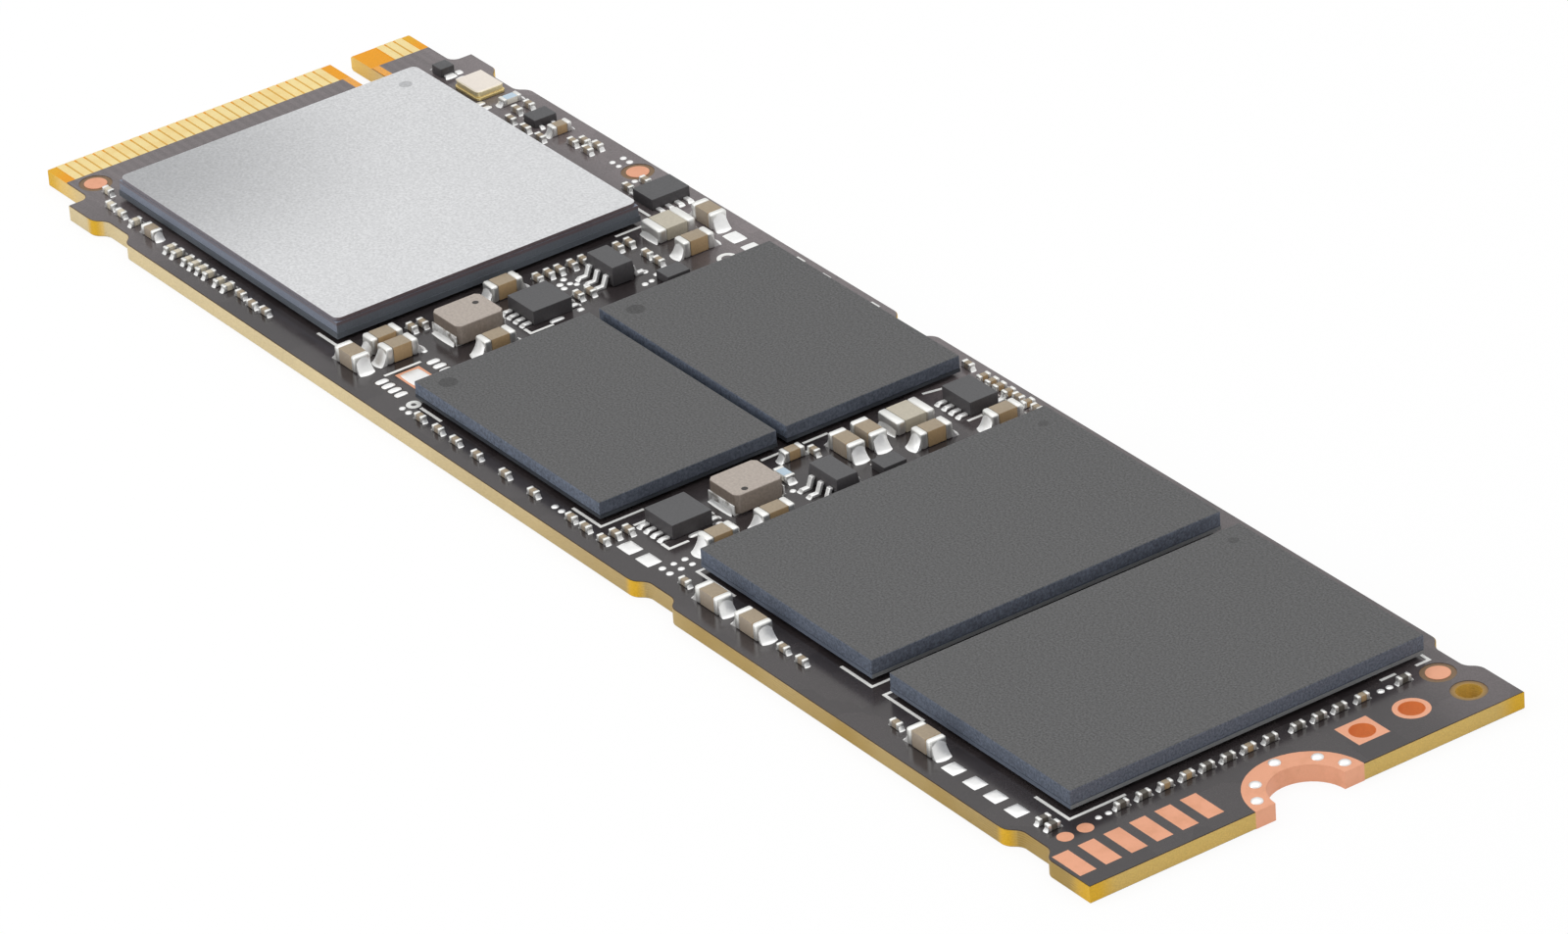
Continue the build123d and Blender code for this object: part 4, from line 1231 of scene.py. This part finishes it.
NARROW_LAND = 0.5
OVAL_CORNER = 0.35
SQUARE_CORNER = 0.08


class DRIVE_OT_solder(bpy.types.Operator):
    """Add solder fillets, tinned dots and the solder on the lands and the mounting ring"""

    bl_idname = "drive.solder"
    bl_label = "Solder"

    def execute(self, context):
        look = context.scene.drive_solder
        bright = solder_material(context.scene.drive_parts)
        chance = random.Random(SOLDER_SEED)
        work = bmesh.new()
        for kind, (wide, rise, reach) in FILLETED.items():
            ends = islands(kind + "_terminals")
            for body, half in middles(kind + "_bodies"):
                own_ends = sorted(ends, key=lambda end: ((end[0] + end[1]) / 2 - body).length)[:2]
                for low, high in own_ends:
                    foot, outward, width = outer_foot(low, high, body, half)
                    grown = (high.z - low.z) * chance.uniform(*FILLET_DRIFT)
                    fillet_patch(work, foot, outward, wide * width, rise * grown, reach * grown)
        for bodies, toes, wide, rise in TOED:
            blocks = middles(bodies)
            for low, high in islands(toes):
                middle = (low + high) / 2
                body, half = min(blocks, key=lambda block: (block[0] - middle).length)
                foot, outward, width = outer_foot(low, high, body, half)
                height = min(high.z - low.z, rise * MM)
                fillet_patch(work, foot, outward, wide * width, height, look.toe_reach)
        finished("solder_fillets", work, bright)
        work = bmesh.new()
        for along, across, length, width in SOLDER_PATCHES:
            half = Vector((0.5 * length * MM, 0.5 * width * MM, 0.0))
            middle = spot(along, across)
            cushion(work, middle - half, middle + half, look.patch_height, OVAL_CORNER)
        finished("solder_patches", work, bright)
        work = bmesh.new()
        for point in TINNED_DOTS:
            dome(work, spot(*point), look.dot_radius * chance.uniform(*DOT_DRIFT), look.dot_height)
        finished("tinned_dots", work, bright)
        work = bmesh.new()
        for point in RING_DOTS:
            dome(work, spot(*point), look.ring_radius, look.ring_height)
        finished("ring_solder_dots", work, bright)
        work = bmesh.new()
        for low, high in islands("tinned_lands"):
            narrow = min(high.x - low.x, high.y - low.y) < NARROW_LAND * MM
            cushion(work, low, high, look.land_height, OVAL_CORNER if narrow else SQUARE_CORNER)
        finished("tinned_land_cushions", work, bright, ("tinned_lands",))
        return {"FINISHED"}


# Lamps: place and width in millimetres
KEY_LAMP = ((-20, 20, 190), 280)
FILL_LAMP = ((-60, -200, 110), 160)
WHITE = (1.0, 1.0, 1.0)
FLOOR_HALF = 3.0
FLOOR_DROP = 0.01
FLOOR_GLOW = 0.9

CAMERA_SPOT = Vector((277.352, -180.797, 186.464)) * MM
CAMERA_WAY = Vector((-0.72498672, 0.47958549, -0.4943602))
CAMERA_RIGHT_RISE = math.sin(math.radians(-3.708))
CAMERA_LENS = 203.18
CAMERA_SENSOR = 36.0
CAMERA_CLIP = (0.01, 10.0)


class DRIVE_OT_stage(bpy.types.Operator):
    """Set the floor, the light and the camera"""

    bl_idname = "drive.stage"
    bl_label = "Stage"

    def execute(self, context):
        look = context.scene.drive_stage
        scene = context.scene
        scene.view_settings.view_transform = "Standard"
        self.make_floor(scene, look)
        self.make_sky(scene, look)
        self.make_lamp(scene, "key_lamp", *KEY_LAMP, look.key_power)
        self.make_lamp(scene, "fill_lamp", *FILL_LAMP, look.fill_power)
        self.make_camera(scene)
        return {"FINISHED"}

    def make_floor(self, scene, look):
        """Pale paper that the camera and reflections see as white, with the object's shadow."""
        work = bmesh.new()
        bmesh.ops.create_grid(work, x_segments=2, y_segments=2, size=FLOOR_HALF)
        mesh = bpy.data.meshes.new("floor")
        work.to_mesh(mesh)
        work.free()
        floor = bpy.data.objects.new("floor", mesh)
        floor.location.z = -FLOOR_DROP * MM
        scene.collection.objects.link(floor)
        made, tree, principled = start_material("floor_paper", Roughness=0.9)
        coat(tree, principled, look.floor, PAPER)
        glow = add_node(tree, "ShaderNodeEmission", Color=WHITE, Strength=1.0)
        ray = tree.nodes.new("ShaderNodeLightPath").outputs
        seen = ray["Is Camera Ray"]
        for kind in ("Is Glossy Ray", "Is Transmission Ray"):
            seen = maths(tree, "MAXIMUM", seen, ray[kind])
        share = times(tree, seen, FLOOR_GLOW)
        mixed = add_node(tree, "ShaderNodeMixShader", _0=share, _1=principled.outputs[0], _2=glow.outputs[0])
        tree.links.new(mixed.outputs[0], tree.nodes["Material Output"].inputs["Surface"])
        mesh.materials.append(made)

    def make_sky(self, scene, look):
        """Even white light from all round."""
        world = bpy.data.worlds.new("even_sky")
        scene.world = world
        world.use_nodes = True
        tree = world.node_tree
        feed(tree, tree.nodes["Background"].inputs, Color=WHITE, Strength=look.sky)

    def make_lamp(self, scene, name, place_mm, size_mm, watts):
        """A round soft lamp that points at the middle of the part."""
        data = bpy.data.lights.new(name, "AREA")
        data.shape = "DISK"
        data.size = size_mm * MM
        data.energy = watts
        lamp = bpy.data.objects.new(name, data)
        lamp.location = Vector(place_mm) * MM
        lamp.rotation_euler = (-lamp.location).to_track_quat("-Z", "Y").to_euler()
        scene.collection.objects.link(lamp)

    def make_camera(self, scene):
        """The photograph's camera, rolled so that its right side rises as it does there."""
        data = bpy.data.cameras.new("photo_camera")
        data.lens = CAMERA_LENS
        data.sensor_width = CAMERA_SENSOR
        data.clip_start, data.clip_end = CAMERA_CLIP
        way = CAMERA_WAY.normalized()
        level = way.cross(Vector((0, 0, 1))).normalized()
        above = level.cross(way)
        tilt = CAMERA_RIGHT_RISE / above.z
        right = level * math.sqrt(1 - tilt * tilt) + above * tilt
        turn = Matrix((right, right.cross(way), -way)).transposed().to_4x4()
        camera = bpy.data.objects.new("photo_camera", data)
        camera.matrix_world = Matrix.Translation(CAMERA_SPOT) @ turn
        scene.collection.objects.link(camera)
        scene.camera = camera


OPERATORS = (
    DRIVE_OT_board,
    DRIVE_OT_print,
    DRIVE_OT_controller,
    DRIVE_OT_packages,
    DRIVE_OT_chip_parts,
    DRIVE_OT_inductors,
    DRIVE_OT_chips,
    DRIVE_OT_crystal,
    DRIVE_OT_solder,
    DRIVE_OT_stage,
)


class DRIVE_PT_panel(bpy.types.Panel):
    """The drive's pieces, in the order in which they are made"""

    bl_idname = "DRIVE_PT_panel"
    bl_label = "Solid-state drive"
    bl_space_type = "VIEW_3D"
    bl_region_type = "UI"
    bl_category = "Drive"

    def draw(self, context):
        for made in OPERATORS:
            self.layout.operator(made.bl_idname)
        for name in LOOKS:
            settings = getattr(context.scene, name)
            box = self.layout.box()
            for key in settings.__annotations__:
                box.prop(settings, key)


def register():
    """Add the settings, operators and panel."""
    for look in LOOKS.values():
        bpy.utils.register_class(look)
    for name, look in LOOKS.items():
        setattr(bpy.types.Scene, name, PointerProperty(type=look))
    for made in (*OPERATORS, DRIVE_PT_panel):
        bpy.utils.register_class(made)


def unregister():
    """Take them away again."""
    for made in reversed((*OPERATORS, DRIVE_PT_panel)):
        bpy.utils.unregister_class(made)
    for name in LOOKS:
        delattr(bpy.types.Scene, name)
    for look in reversed(LOOKS.values()):
        bpy.utils.unregister_class(look)


def main():
    """Build every piece in order."""
    register()
    bpy.ops.drive.board()
    bpy.ops.drive.print()
    bpy.ops.drive.controller()
    bpy.ops.drive.packages()
    bpy.ops.drive.chip_parts()
    bpy.ops.drive.inductors()
    bpy.ops.drive.chips()
    bpy.ops.drive.crystal()
    bpy.ops.drive.solder()
    bpy.ops.drive.stage()


if __name__ == "__main__":
    main()
